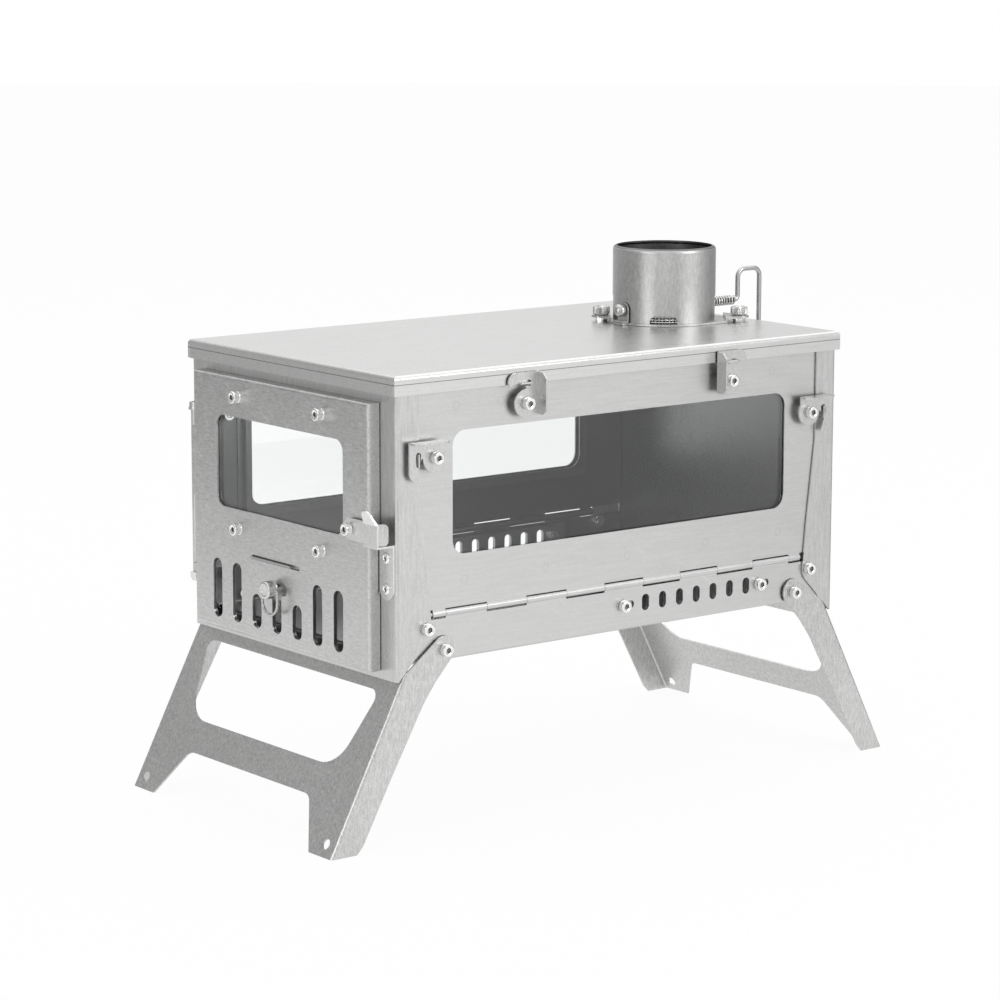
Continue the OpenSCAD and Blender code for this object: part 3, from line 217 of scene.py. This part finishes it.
def make_level_line():
    tree, given, result = new_group("level line", [
        ("Height", "NodeSocketFloat", 0.26),
        ("Half width", "NodeSocketFloat", 0.0003)],
        [("Mask", "NodeSocketFloat")])
    off = maths(tree, "ABSOLUTE", maths(tree, "SUBTRACT", split(tree, object_place(tree))[2], given["Height"]))
    join(tree, remap(tree, maths(tree, "DIVIDE", off, given["Half width"]), 0.5, 1.0, 1, 0), result["Mask"])
    return tree


# Inner faces: a mask of all that lies within a box, or within a tube round an upright axis, where the sheets get
# painted shade

def make_inner_box():
    tree, given, result = new_group("inner faces", [
        ("Half size", "NodeSocketVector", (1, 1, 1)),
        ("Centre", "NodeSocketVector", (0, 0, 0))],
        [("Mask", "NodeSocketFloat")])
    away = vector_maths(tree, "SUBTRACT", object_place(tree), given["Centre"])
    share = vector_maths(tree, "DIVIDE", away, given["Half size"])
    parts = split(tree, vector_maths(tree, "ABSOLUTE", share))
    furthest = maths(tree, "MAXIMUM", maths(tree, "MAXIMUM", parts[0], parts[1]), parts[2])
    join(tree, maths(tree, "LESS_THAN", furthest, 1.0), result["Mask"])
    return tree


def make_inner_tube():
    tree, given, result = new_group("inside of a tube", [
        ("Axis point", "NodeSocketVector", (0, 0, 0)),
        ("Radius", "NodeSocketFloat", 0.03)],
        [("Mask", "NodeSocketFloat")])
    away = vector_maths(tree, "SUBTRACT", object_place(tree), given["Axis point"])
    reach = vector_maths(tree, "LENGTH", vector_maths(tree, "MULTIPLY", away, (1, 1, 0)))
    join(tree, maths(tree, "LESS_THAN", reach, given["Radius"]), result["Mask"])
    return tree


grain = make_grain()
weld_ring = make_weld_ring()
handling_marks = make_marks()
inner_box = make_inner_box()
inner_tube = make_inner_tube()
level_line = make_level_line()


def use_group(tree, group, **values):
    made = node(tree, "ShaderNodeGroup", node_tree=group)
    for label, value in values.items():
        made.inputs[label.replace("_", " ")].default_value = value
    return made.outputs


def tinted(tree, colour, mask, amount, tint):
    made = node(tree, "ShaderNodeMix", data_type="RGBA")
    join(tree, maths(tree, "MULTIPLY", mask, amount), made.inputs["Factor"])
    join(tree, colour, made.inputs["A"])
    made.inputs["B"].default_value = (*tint, 1)
    return made.outputs["Result"]


def new_material(name, metallic):
    material = bpy.data.materials.new(name)
    material.use_nodes = True
    tree = material.node_tree
    shader = tree.nodes["Principled BSDF"]
    shader.inputs["Metallic"].default_value = metallic
    return material, tree, shader


def sheet_metal(name, stretch=(1, 1, 1), tone=0.6, spread=0.08, rough=0.36, rough_spread=0.1, bump=0.12, welds=(),
        scratch_turn=None, scratches=1.0, inside=None, inside_shade=0.15, line_height=None):
    material, tree, shader = new_material(name, 1)
    surface = use_group(tree, grain, Stretch=stretch, Base_tone=tone, Tone_spread=spread, Base_roughness=rough,
        Roughness_spread=rough_spread)
    colour = surface["Color"]
    roughness = surface["Roughness"]
    if welds:
        rings = None
        for centre in welds:
            ring = use_group(tree, weld_ring, Centre=centre)["Mask"]
            rings = ring if rings is None else maths(tree, "MAXIMUM", rings, ring)
        colour = tinted(tree, colour, rings, 0.16, (0.3, 0.3, 0.3))
    if scratch_turn:
        scratched = use_group(tree, handling_marks, Turn=scratch_turn, Amount=scratches)["Mask"]
        colour = tinted(tree, colour, scratched, 0.6, (0.92, 0.92, 0.91))
        roughness = maths(tree, "ADD", roughness, maths(tree, "MULTIPLY", scratched, 0.16))
    # Painted shade: faces inside the given box or tube are darkened towards the inside shade tone
    if inside:
        group, settings = inside
        colour = tinted(tree, colour, use_group(tree, group, **settings)["Mask"], 0.8, (inside_shade,) * 3)
    if line_height:
        line = use_group(tree, level_line, Height=line_height)["Mask"]
        colour = tinted(tree, colour, line, 0.75, (0.12, 0.12, 0.12))
    join(tree, colour, shader.inputs["Base Color"])
    join(tree, roughness, shader.inputs["Roughness"])
    relief = node(tree, "ShaderNodeBump")
    relief.inputs["Strength"].default_value = bump
    relief.inputs["Distance"].default_value = 0.0002
    join(tree, surface["Height"], relief.inputs["Height"])
    join(tree, relief.outputs[0], shader.inputs["Normal"])
    return material


def heat_glass():
    material, tree, shader = new_material("heat glass", 0)
    shader.inputs["Transmission Weight"].default_value = 1
    shader.inputs["IOR"].default_value = 1.47
    shader.inputs["Base Color"].default_value = (0.97, 0.98, 0.98, 1)
    smear = noise(tree, object_place(tree), 22, 4, 0.6)
    join(tree, remap(tree, smear, 0.45, 0.75, 0.0, 0.012), shader.inputs["Roughness"])
    return material


# Finishes. Stretch draws the grain out along an axis; scratch turns are in radians.

weld_places = [(-122.4, 245), (-90.9, 245), (60, 245), (114, 245),
    (-116.5, 146.3), (-58.7, 146), (2.6, 146), (63, 146.5), (121, 146.5)]
side_welds = [(side * SIDE_FACE * MM, y * MM, z * MM) for side in (1, -1) for y, z in weld_places]
# Places that get painted shade: inner faces of the firebox, the inside of the flue collar, and the handle's wire
# within the spring
firebox = (inner_box, {"Half_size": (0.0999, 0.1645, 0.0806), "Centre": (0, 0, 0.184)})
flue = (inner_tube, {"Axis_point": (0, COLLAR_Y * MM, 0), "Radius": 0.0312})
spring_core = (inner_box, {"Half_size": (0.0018, 0.0125, 0.0018), "Centre": (0, 0.1603, SHAFT_Z * MM)})
upright_turn, side_turn, level_turn = (0.1, 0.9, 0), (0.7, 0.1, 1.57), (0, 0, 0.8)

finish_values = {
    "side sheet": dict(stretch=(1, 0.05, 1), spread=0.06, welds=side_welds, scratch_turn=side_turn, scratches=0.25,
        inside=firebox),
    "end sheet": dict(stretch=(1, 1, 0.1), tone=0.585, spread=0.12, scratch_turn=upright_turn, scratches=0.4,
        inside=firebox),
    "tray sheet": dict(stretch=(1, 0.05, 1), spread=0.05, scratch_turn=side_turn, scratches=0.25, inside=firebox),
    "lid sheet": dict(stretch=(1, 0.05, 1), tone=0.68, spread=0.05, rough=0.3, rough_spread=0.07, bump=0.03,
        scratch_turn=level_turn, scratches=0.15, line_height=0.26),
    "door sheet": dict(stretch=(0.2, 1, 1), tone=0.56, spread=0.16, scratch_turn=upright_turn, scratches=0.5),
    "leg sheet": dict(stretch=(1, 1, 0.25), tone=0.58, spread=0.2, scratch_turn=upright_turn, scratches=0.35),
    "collar sheet": dict(stretch=(1, 1, 0.25), tone=0.52, rough=0.38, spread=0.14, scratch_turn=upright_turn,
        scratches=0.4, inside=flue, inside_shade=0.09),
    "latch fittings": dict(stretch=(1, 1, 0.3), tone=0.7, spread=0.12, rough=0.3),
    # The glass frames sit inside the stove; their dark tone is painted shade
    "shaded inner frames": dict(stretch=(1, 0.3, 1), tone=0.28, spread=0.06),
    "cut fittings": dict(stretch=(1, 1, 0.3), spread=0.12, rough=0.3),
    "slider sheet": dict(tone=0.42, rough=0.4),
    "polished steel": dict(tone=0.72, spread=0.04, rough=0.16, rough_spread=0.06, bump=0.03),
    "screw steel": dict(tone=0.86, spread=0.05, rough=0.14, rough_spread=0.06, bump=0.04),
    "socket shade": dict(tone=0.3, spread=0.04, rough=0.4),
    "turned steel": dict(tone=0.64, rough=0.24, rough_spread=0.06, bump=0.04),
    "wire steel": dict(tone=0.5, spread=0.06, rough=0.26, bump=0.03, inside=spring_core, inside_shade=0.02),
    "spring steel": dict(tone=0.68, spread=0.06, rough=0.22, bump=0.03),
}
finishes = {name: sheet_metal(name, **values) for name, values in finish_values.items()}
finishes["heat glass"] = heat_glass()

latches = [kind + "_latch_" + place for kind in ("lid", "corner")
    for place in ("front_right", "rear_right", "front_left", "rear_left")]
members_of = {
    "side sheet": ["side_panel_right", "side_panel_left"],
    "end sheet": ["front_panel", "rear_panel"],
    "tray sheet": ["tray"],
    "lid sheet": ["lid"],
    "door sheet": ["door"],
    "leg sheet": ["front_leg", "rear_leg"],
    "collar sheet": ["flue_collar", "collar_flange", "damper_bracket"],
    "shaded inner frames": ["glass_frame_right", "glass_frame_left", "door_glass_frame"],
    "cut fittings": latches,
    "latch fittings": ["door_latch", "latch_keeper"],
    "slider sheet": ["door_slider", "side_slider_right", "side_slider_left", "damper_plate"],
    "polished steel": ["hinge_rods", "door_hinge_pin"],
    "heat glass": ["side_glass_right", "side_glass_left", "door_glass"],
}
for name, members in members_of.items():
    for member in members:
        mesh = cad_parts[member].data
        mesh.materials.clear()
        mesh.materials.append(finishes[name])


# Small bevels that catch the light on cut edges

def soften_edges(width, *members):
    for member in members:
        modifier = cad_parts[member].modifiers.new("edge", "BEVEL")
        modifier.width = width
        modifier.segments = 2
        modifier.limit_method = "ANGLE"
        modifier.angle_limit = math.radians(50)


soften_edges(0.2 * MM, "side_panel_right", "side_panel_left", "front_panel", "rear_panel", "lid", "front_leg",
    "rear_leg", "door_latch", "latch_keeper", *latches, "collar_flange", "damper_bracket")
soften_edges(0.32 * MM, "door", "tray")


# Small pieces, each lofted through rings in millimetres along its own z axis

def circle(radius):
    return lambda angle: radius


def hexagon(radius, limit=99.0, turn=0.0):
    sixth = math.pi / 3
    return lambda angle: min(radius * math.cos(sixth / 2) / math.cos((angle + turn) % sixth - sixth / 2), limit)


def skin(count, sides, joined):
    """Faces between rings of points: a closed loop of rings, or a tube with two flat ends"""
    faces = []
    for level in range(count if joined else count - 1):
        above = (level + 1) % count
        for step in range(sides):
            beside = (step + 1) % sides
            faces.append((level * sides + step, level * sides + beside, above * sides + beside,
                above * sides + step))
    if not joined:
        faces.append(tuple(reversed(range(sides))))
        faces.append(tuple(range((count - 1) * sides, count * sides)))
    return faces


def loft(levels, sides=48, joined=False):
    points = []
    for height, outline in levels:
        for step in range(sides):
            angle = math.tau * step / sides
            reach = outline(angle)
            points.append(Vector((reach * math.cos(angle), reach * math.sin(angle), height)))
    return points, skin(len(levels), sides, joined)


def turned(profile, sides=48):
    return loft([(height, circle(radius)) for radius, height in profile], sides)


def thread(radius, depth, start, end, pitch=0.5):
    turns = max(int((end - start) / pitch), 1)
    step = (end - start) / turns
    return [(radius - depth * part, start + (turn + part) * step) for turn in range(turns) for part in (0, 0.5)]


def swept(path, radius, sides=16, closed=False):
    points = []
    count = len(path)
    side_way = Vector((0.3, 0.5, 0.8))
    for place, at in enumerate(path):
        after = path[(place + 1) % count] if closed or place < count - 1 else at
        before = path[place - 1] if closed or place > 0 else at
        ahead = (after - before).normalized()
        side_way = (side_way - side_way.dot(ahead) * ahead).normalized()
        across = ahead.cross(side_way)
        for step in range(sides):
            angle = math.tau * step / sides
            points.append(at + radius * (math.cos(angle) * side_way + math.sin(angle) * across))
    return points, skin(count, sides, closed)


def bend(centre, first, second, radius, start, end, steps):
    """Points of an arc in the plane of two directions, between two angles in degrees"""
    centre, first, second = Vector(centre), Vector(first), Vector(second)
    turns = [math.radians(start + (end - start) * step / steps) for step in range(steps + 1)]
    return [centre + radius * (math.cos(turn) * first + math.sin(turn) * second) for turn in turns]


def stood(part, at, outward, upward=(0, 0, 1)):
    """A part moved so that its z axis points outward and its x axis points upward"""
    points, faces, *shaded = part
    outward = Vector(outward)
    upward = Vector(upward)
    across = outward.cross(upward)
    at = Vector(at)
    return [at + point.x * upward + point.y * across + point.z * outward for point in points], faces, *shaded


def build_piece(name, parts, body, slot, finish, *replaced):
    """One piece from parts of points, faces and perhaps the numbers of the faces in a socket's shade"""
    points = []
    faces = []
    dark = []
    for part_points, part_faces, *shaded in parts:
        shift = len(points)
        dark.extend(len(faces) + place for group in shaded for place in group)
        points.extend(point * MM for point in part_points)
        faces.extend(tuple(corner + shift for corner in face) for face in part_faces)
    mesh = bpy.data.meshes.new(name)
    mesh.from_pydata(points, [], faces)
    shape = bmesh.new()
    shape.from_mesh(mesh)
    bmesh.ops.recalc_face_normals(shape, faces=shape.faces)
    shape.to_mesh(mesh)
    shape.free()
    mesh.polygons.foreach_set("use_smooth", [True] * len(mesh.polygons))
    mesh.set_sharp_from_angle(angle=math.radians(32))
    mesh.materials.append(finishes[finish])
    if dark:
        mesh.materials.append(finishes["socket shade"])
        for place in dark:
            mesh.polygons[place].material_index = 1
    piece = bpy.data.objects.new(name, mesh)
    scene.collection.objects.link(piece)
    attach(piece, body)
    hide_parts(*replaced)


# Screws: socket head on a washer, shank, chamfered nut and spacer rings. Heights count outward from the
# middle plane; head and nut are where each of them starts, and a spacer is its start, end and radius.

HEAD_SIDES = 48


def socket_head(base):
    rings = [(0, circle(2.9)), (0.12, circle(3.1)), (0.86, circle(3.1)), (0.98, circle(2.95)), (1.02, circle(3.3)),
        (1.16, circle(3.54)), (1.3, circle(3.6)), (3.72, circle(3.6)), (3.96, circle(3.52)), (4.12, circle(3.34)),
        (4.2, circle(3.05)), (4.2, circle(2.25)), (4.08, circle(2.05)), (3.98, hexagon(1.78)),
        (3.88, hexagon(1.7)), (2.6, hexagon(1.7)), (2.35, hexagon(1.3))]
    points, faces = loft([(base + height, outline) for height, outline in rings], HEAD_SIDES)
    walls = range((len(rings) - 3) * HEAD_SIDES, (len(rings) - 1) * HEAD_SIDES)
    return points, faces, [*walls, len(faces) - 1]


def hex_nut(low, high, turn=0.0):
    chamfer = 0.4
    hole = circle(3.3)
    rim = hexagon(4.0, 3.62, turn)
    full = hexagon(4.0, 3.97, turn)
    return loft([(low, hole), (low, rim), (low + chamfer, full), (high - chamfer, full), (high, rim), (high, hole)])


def bolt(head, nut, nut_height, turn, spacers):
    top = nut + nut_height
    shank = thread(2.0, 0.22, nut - 0.55, top + 0.4) + [(2.0, top + 0.5), (2.0, head + 0.5)]
    parts = [socket_head(head), turned([(1.6, nut - 0.6)] + shank), hex_nut(nut, top, turn)]
    for start, end, radius in spacers:
        parts.append(turned([(radius - 0.2, start), (radius, start + 0.15), (radius, end - 0.15),
            (radius - 0.2, end)]))
    return parts


def side_bolts(name, sides, rows, head, nut, spacers, body, replaced):
    nut_height, nut_turn = 2.8, math.pi / 6
    parts = [stood(part, (0, y, z), (side, 0, 0)) for side in sides for y, z in rows
        for part in bolt(head, nut, nut_height, nut_turn, spacers)]
    build_piece(name, parts, body, "polished", "screw steel", replaced)


def front_bolts(name, rows, head, nut, spacers, body, replaced):
    nut_height, nut_turn = 2.4, 0.0
    parts = [stood(part, (x, 0, z), (0, -1, 0)) for x, z in rows
        for part in bolt(head, nut, nut_height, nut_turn, spacers)]
    build_piece(name, parts, body, "polished", "screw steel", replaced)


leg_rows = [(-132.4, 108.4), (132.4, 108.4)]
panel_rows = [(-144.7, 121.5), (144.7, 121.5)]
latch_rows = [(-140.7, 218.2), (140.7, 218.2), (-76.6, 242.8), (76.6, 242.8)]
slider_rows = [(-0.8, 116.4), (105.4, 116.4)]
door_rows = [(x, z) for x in (-40.4, 43.5) for z in (160.6, 238.1)]
side_bolts("leg_bolts", (1, -1), leg_rows, 102.65, NUT_START, [(SIDE_FACE, 101.35, 4.0)], "body", "leg_screws")
side_bolts("panel_bolts", (1, -1), panel_rows, 101.8, NUT_START, (), "body", "panel_screws")
for side, word in ((1, "right"), (-1, "left")):
    side_bolts("latch_bolts_" + word, (side,), latch_rows, 105.25, NUT_START, [(SIDE_FACE, 103.95, 3.2)],
        "side_" + word, "latch_screws_" + word)
    side_bolts("slider_bolts_" + word, (side,), slider_rows, 100.6, 95.3, (), word + "_air",
        "slider_screws_" + word)
front_bolts("door_bolts", door_rows, 174.5, 169.0, [(DOOR_FACE, 174.6, 3.5)], "door", "door_screws")
front_bolts("lever_bolt", [(72.5, 177.4)], 175.55, 169.8, [(DOOR_FACE, 174.05, 3.4)], "door", "door_latch_screw")


# Tubular rivets of the keeper, with a rolled head and a spread tail

def rivet():
    return turned([(2.3, 163.62), (2.6, 163.7), (2.6, 163.9), (2.3, 164.0), (1.5, 164.0), (1.5, 166.2), (3.15, 166.2),
        (3.3, 166.35), (3.24, 166.7), (2.95, 167.05), (2.5, 167.25), (1.95, 167.3), (1.45, 167.15), (1.12, 166.85),
        (1.05, 166.4), (1.0, 164.6)])


build_piece("keeper_rivet_pair", [stood(rivet(), (94.0, 0, z), (0, -1, 0)) for z in (145.5, 162.9)], "body",
    "polished", "screw steel", "keeper_rivets")


# Knob of the door's air slider, bored for its ring

def knob():
    return turned([(1.7, 169.5), (2.0, 169.8), (2.0, 171.9), (2.6, 171.9), (2.6, 175.2), (4.7, 175.4), (5.05, 175.5),
        (5.2, 175.75), (5.2, 176.35), (5.0, 176.5), (5.0, 176.7), (5.2, 176.85), (5.2, 181.2), (5.1, 181.65),
        (4.85, 182.0), (4.45, 182.2), (3.5, 182.2), (3.1, 182.05), (2.9, 181.8), (1.2, 181.75)], 64)


build_piece("air_knob", [stood(knob(), (KNOB_X, 0, KNOB_Z), (0, -1, 0))], "door_air", "polished", "turned steel",
    "slider_knob")


def ring_path():
    reach, drop, corner, depth = 7.6, 7.0, 1.6, -178.0
    across, upward = (1, 0, 0), (0, 0, 1)
    path = bend((KNOB_X + reach - corner, depth, KNOB_Z - corner), across, upward, corner, 90, 0, 6)
    path += bend((KNOB_X, depth, KNOB_Z - drop), across, upward, reach, 0, -180, 28)
    path += bend((KNOB_X - reach + corner, depth, KNOB_Z - corner), across, upward, corner, 180, 90, 6)
    return path


build_piece("pull_ring", [swept(ring_path(), 0.85, closed=True)], "ring", "polished", "wire steel", "knob_ring")


# Studs and thumb nuts on the ears of the collar's flange

stud_places = [(28.63, 151.84), (-23.77, 84.78)]
NUT_BASE = 268.8
KNURLS, NOTCHES, NOTCH_SHARE = 40, 6, 0.3


def stud():
    return [turned([(1.7, 261.0)] + thread(2.0, 0.2, 261.3, 273.2) + [(1.95, 273.3), (1.5, 273.6)]),
        hex_nut(265.0, 267.2, 0.4),
        hex_nut(261.6, 264.0)]


def notched(radius, knurl, notch):
    def outline(angle):
        part = (angle * NOTCHES / math.tau) % 1
        return radius - knurl * (0.5 - 0.5 * math.cos(KNURLS * angle)) - (notch if part < NOTCH_SHARE else 0)
    return outline


def thumb_nut():
    levels = [(0, 3.4, 0, 0), (0, 4.3, 0, 0), (0.12, 4.55, 0, 0), (0.4, 4.6, 0, 0), (0.55, 4.9, 0.05, 0),
        (0.85, 5.2, 0.24, 0), (4.3, 5.2, 0.24, 0), (4.32, 5.2, 0.24, 0.85), (4.75, 5.15, 0.2, 0.95),
        (5.05, 4.95, 0.05, 0.8), (5.2, 4.6, 0, 0.5), (5.2, 3.5, 0, 0), (4.95, 3.3, 0, 0), (4.9, 2.3, 0, 0),
        (4.7, 2.06, 0, 0), (0.2, 2.06, 0, 0)]
    return loft([(NUT_BASE + height, notched(radius, knurl, notch)) for height, radius, knurl, notch in levels],
        160, True)


def on_studs(parts):
    return [stood(part, (x, y, 0), (0, 0, 1), (1, 0, 0)) for x, y in stud_places for part in parts]


build_piece("flange_studs", on_studs(stud()), "lid", "polished", "screw steel", "collar_studs")
build_piece("knurled_nuts", on_studs([thumb_nut()]), "lid", "polished", "turned steel", "thumb_nuts")


# Damper handle: ball end, shaft and bent loop, with its spring

def handle_path():
    lengthwise, upward = (0, 1, 0), (0, 0, 1)
    shaft_start, shaft_end, corner, loop_z = 79.5, 173.2, 5.3, SHAFT_Z + 13.8
    path = [Vector((0, shaft_start + (shaft_end - shaft_start) * step / 8, SHAFT_Z)) for step in range(8)]
    path += bend((0, shaft_end, SHAFT_Z + 3), lengthwise, upward, 3, -90, 0, 8)
    path += bend((0, 181.5, loop_z), lengthwise, upward, corner, 180, 90, 12)
    path += bend((0, 189.1, loop_z), lengthwise, upward, corner, 90, 0, 12)
    path += [Vector((0, 194.4, 257.35)), Vector((0, 194.4, 257.2))]
    return path


def ball():
    radius, start = 4, 76.05
    profile = [(0.4, start)]
    for step in range(1, 15):
        turn = math.radians(10 * step)
        height = radius - radius * math.cos(turn)
        if height < 5.45:
            profile.append((radius * math.sin(turn), start + height))
    return turned(profile + [(3.7, 81.55), (3.4, 81.65), (1.6, 81.65)])


build_piece("handle_wire", [swept(handle_path(), 1.5, 24), stood(ball(), (0, 0, SHAFT_Z), (0, 1, 0))], "damper",
    "polished", "wire steel", "damper_handle")


def spring_path():
    turns, per_turn, start, length, radius = 11, 28, 148.3, 24.1, 2.65
    path = []
    for step in range(turns * per_turn + 1):
        share = step / (turns * per_turn)
        angle = math.tau * turns * share + math.pi / 2
        eased = share + 0.012 * math.sin(math.tau * share)
        path.append(Vector((radius * math.cos(angle), start + length * eased, SHAFT_Z + radius * math.sin(angle))))
    return path


build_piece("shaft_spring", [swept(spring_path(), 0.5, 10)], "damper", "wire", "spring steel", "damper_spring")


# Woven mesh behind the air hole at the collar's foot: upright wires and level ones, each over and under

MESH_RADIUS = 29.75
MESH_SWAY = 0.3
UPRIGHTS, UPRIGHT_START, UPRIGHT_STEP = 11, -58.3, 4.02
ROWS, ROW_START, ROW_STEP = 4, 267.3, 1.6


def mesh_point(upright, height, sway):
    angle = math.radians(UPRIGHT_START + UPRIGHT_STEP * upright)
    reach = MESH_RADIUS + sway
    return Vector((reach * math.cos(angle), COLLAR_Y + reach * math.sin(angle), height))


def woven_mesh():
    paths = []
    for upright in range(UPRIGHTS):
        heights = [266.75 + 5.6 * step / 20 for step in range(21)]
        paths.append([mesh_point(upright, height,
            MESH_SWAY * math.cos(math.pi * ((height - ROW_START) / ROW_STEP + upright))) for height in heights])
    for row in range(ROWS):
        places = [-0.4 + 10.8 * step / 96 for step in range(97)]
        paths.append([mesh_point(place, ROW_START + ROW_STEP * row,
            -MESH_SWAY * math.cos(math.pi * (place + row))) for place in places])
    return [swept(path, 0.32, 8) for path in paths]


build_piece("air_hole_mesh", woven_mesh(), "lid", "wire", "screw steel", "collar_mesh")


# Floor, backdrop and lamps. Metal sees a room that isn't evenly bright; the camera sees plain white.

def seen_rays(tree):
    rays = node(tree, "ShaderNodeLightPath").outputs
    seen = maths(tree, "MAXIMUM", rays["Is Camera Ray"], rays["Is Glossy Ray"])
    white = maths(tree, "MAXIMUM", rays["Is Camera Ray"], rays["Is Transmission Ray"])
    return maths(tree, "MAXIMUM", seen, rays["Is Transmission Ray"]), white, rays["Is Glossy Ray"]


def to_front_left(tree, place):
    """How far a place or a direction lies towards the front left, which metal sees as dimmer"""
    return vector_maths(tree, "DOT_PRODUCT", place, (-0.62, -0.78, 0))


def room_tone(tree, towards):
    """Brightness that metal reflects from one side of the room: dimmer towards the back and at the doorway"""
    heading = vector_maths(tree, "NORMALIZE", vector_maths(tree, "MULTIPLY", towards, (1, 1, 0)))
    backward = vector_maths(tree, "DOT_PRODUCT", heading, (0, 1, 0))
    dimming = maths(tree, "MULTIPLY", maths(tree, "POWER", remap(tree, backward, 0.35, 1.0, 0.0, 1.0), 2), 0.65)
    doorway = vector_maths(tree, "DOT_PRODUCT", heading, (0.99, -0.14, 0))
    gap = remap(tree, doorway, 0.93, 0.99, 0.0, 0.3)
    return maths(tree, "MULTIPLY", maths(tree, "SUBTRACT", 1, dimming), maths(tree, "SUBTRACT", 1, gap))


def studio_world():
    world = bpy.data.worlds.new("studio")
    scene.world = world
    world.use_nodes = True
    tree = world.node_tree
    tree.nodes.clear()
    out = node(tree, "ShaderNodeOutputWorld")
    shade = node(tree, "ShaderNodeBackground")
    shade.inputs["Color"].default_value = (1, 1, 1, 1)
    seen, white, glossy = seen_rays(tree)
    towards = node(tree, "ShaderNodeTexCoord").outputs["Generated"]
    front_left = remap(tree, to_front_left(tree, towards), 0.0, 0.9, 1.0, 0.46)
    sides = maths(tree, "MULTIPLY", front_left, room_tone(tree, towards))
    height = split(tree, towards)[2]
    overhead = maths(tree, "MULTIPLY", remap(tree, height, 0.42, 0.66, 0.0, 1.15),
        remap(tree, height, 0.68, 0.82, 1.0, 0.5))
    gloss = maths(tree, "MULTIPLY", glossy, maths(tree, "MAXIMUM", sides, overhead))
    ambient = maths(tree, "MULTIPLY", maths(tree, "SUBTRACT", 1, seen), 0.7)
    join(tree, maths(tree, "MAXIMUM", white, maths(tree, "ADD", gloss, ambient)), shade.inputs["Strength"])
    join(tree, shade.outputs[0], out.inputs["Surface"])


def studio_floor():
    shape = bmesh.new()
    bmesh.ops.create_circle(shape, cap_ends=True, segments=96, radius=8)
    mesh = bpy.data.meshes.new("floor")
    shape.to_mesh(mesh)
    shape.free()
    floor = bpy.data.objects.new("floor", mesh)
    floor.location = (0, 0, -0.0002)
    scene.collection.objects.link(floor)
    material, tree, shader = new_material("pale floor", 0)
    out = tree.nodes["Material Output"]
    shader.inputs["Base Color"].default_value = (0.86, 0.86, 0.86, 1)
    shader.inputs["Roughness"].default_value = 0.6
    shader.inputs["Specular IOR Level"].default_value = 0.2
    glow = node(tree, "ShaderNodeEmission")
    spot = node(tree, "ShaderNodeNewGeometry").outputs["Position"]
    seen, white, glossy = seen_rays(tree)
    far = remap(tree, vector_maths(tree, "LENGTH", spot), 0.3, 0.75, 0, 1)
    dimming = maths(tree, "MULTIPLY", far, maths(tree, "SUBTRACT", 1, room_tone(tree, spot)))
    front_left = remap(tree, to_front_left(tree, spot), 0.75, 1.3, 1.1, 0.42)
    gloss = maths(tree, "MULTIPLY", front_left, maths(tree, "SUBTRACT", 1, dimming))
    # Painted shadow: the floor's glow that metal reflects is dimmer close around the stove
    away = vector_maths(tree, "LENGTH", vector_maths(tree, "MULTIPLY", spot, (5, 3, 0)))
    gloss = maths(tree, "MULTIPLY", gloss, remap(tree, away, 0.5, 1.2, 0.8, 1))
    join(tree, maths(tree, "MAXIMUM", white, maths(tree, "MULTIPLY", glossy, gloss)), glow.inputs["Strength"])
    blend = node(tree, "ShaderNodeMixShader")
    join(tree, maths(tree, "MULTIPLY", seen, 0.95), blend.inputs["Fac"])
    join(tree, shader.outputs[0], blend.inputs[1])
    join(tree, glow.outputs[0], blend.inputs[2])
    join(tree, blend.outputs[0], out.inputs["Surface"])
    mesh.materials.append(material)


def lamp(name, at, size, watts):
    target = Vector((0, 0, 0.18))
    data = bpy.data.lights.new(name, "AREA")
    data.shape = "DISK"
    data.size = size
    data.energy = watts
    made = bpy.data.objects.new(name, data)
    made.location = at
    made.rotation_euler = (target - Vector(at)).to_track_quat("-Z", "Y").to_euler()
    scene.collection.objects.link(made)


studio_world()
studio_floor()
lamp("overhead softbox", (-0.3, 0.4, 2.2), 3.6, 24)
lamp("right softbox", (2.2, 0.9, 1.2), 1.2, 14)
lamp("front fill", (0.6, -2.4, 0.9), 1.0, 8)
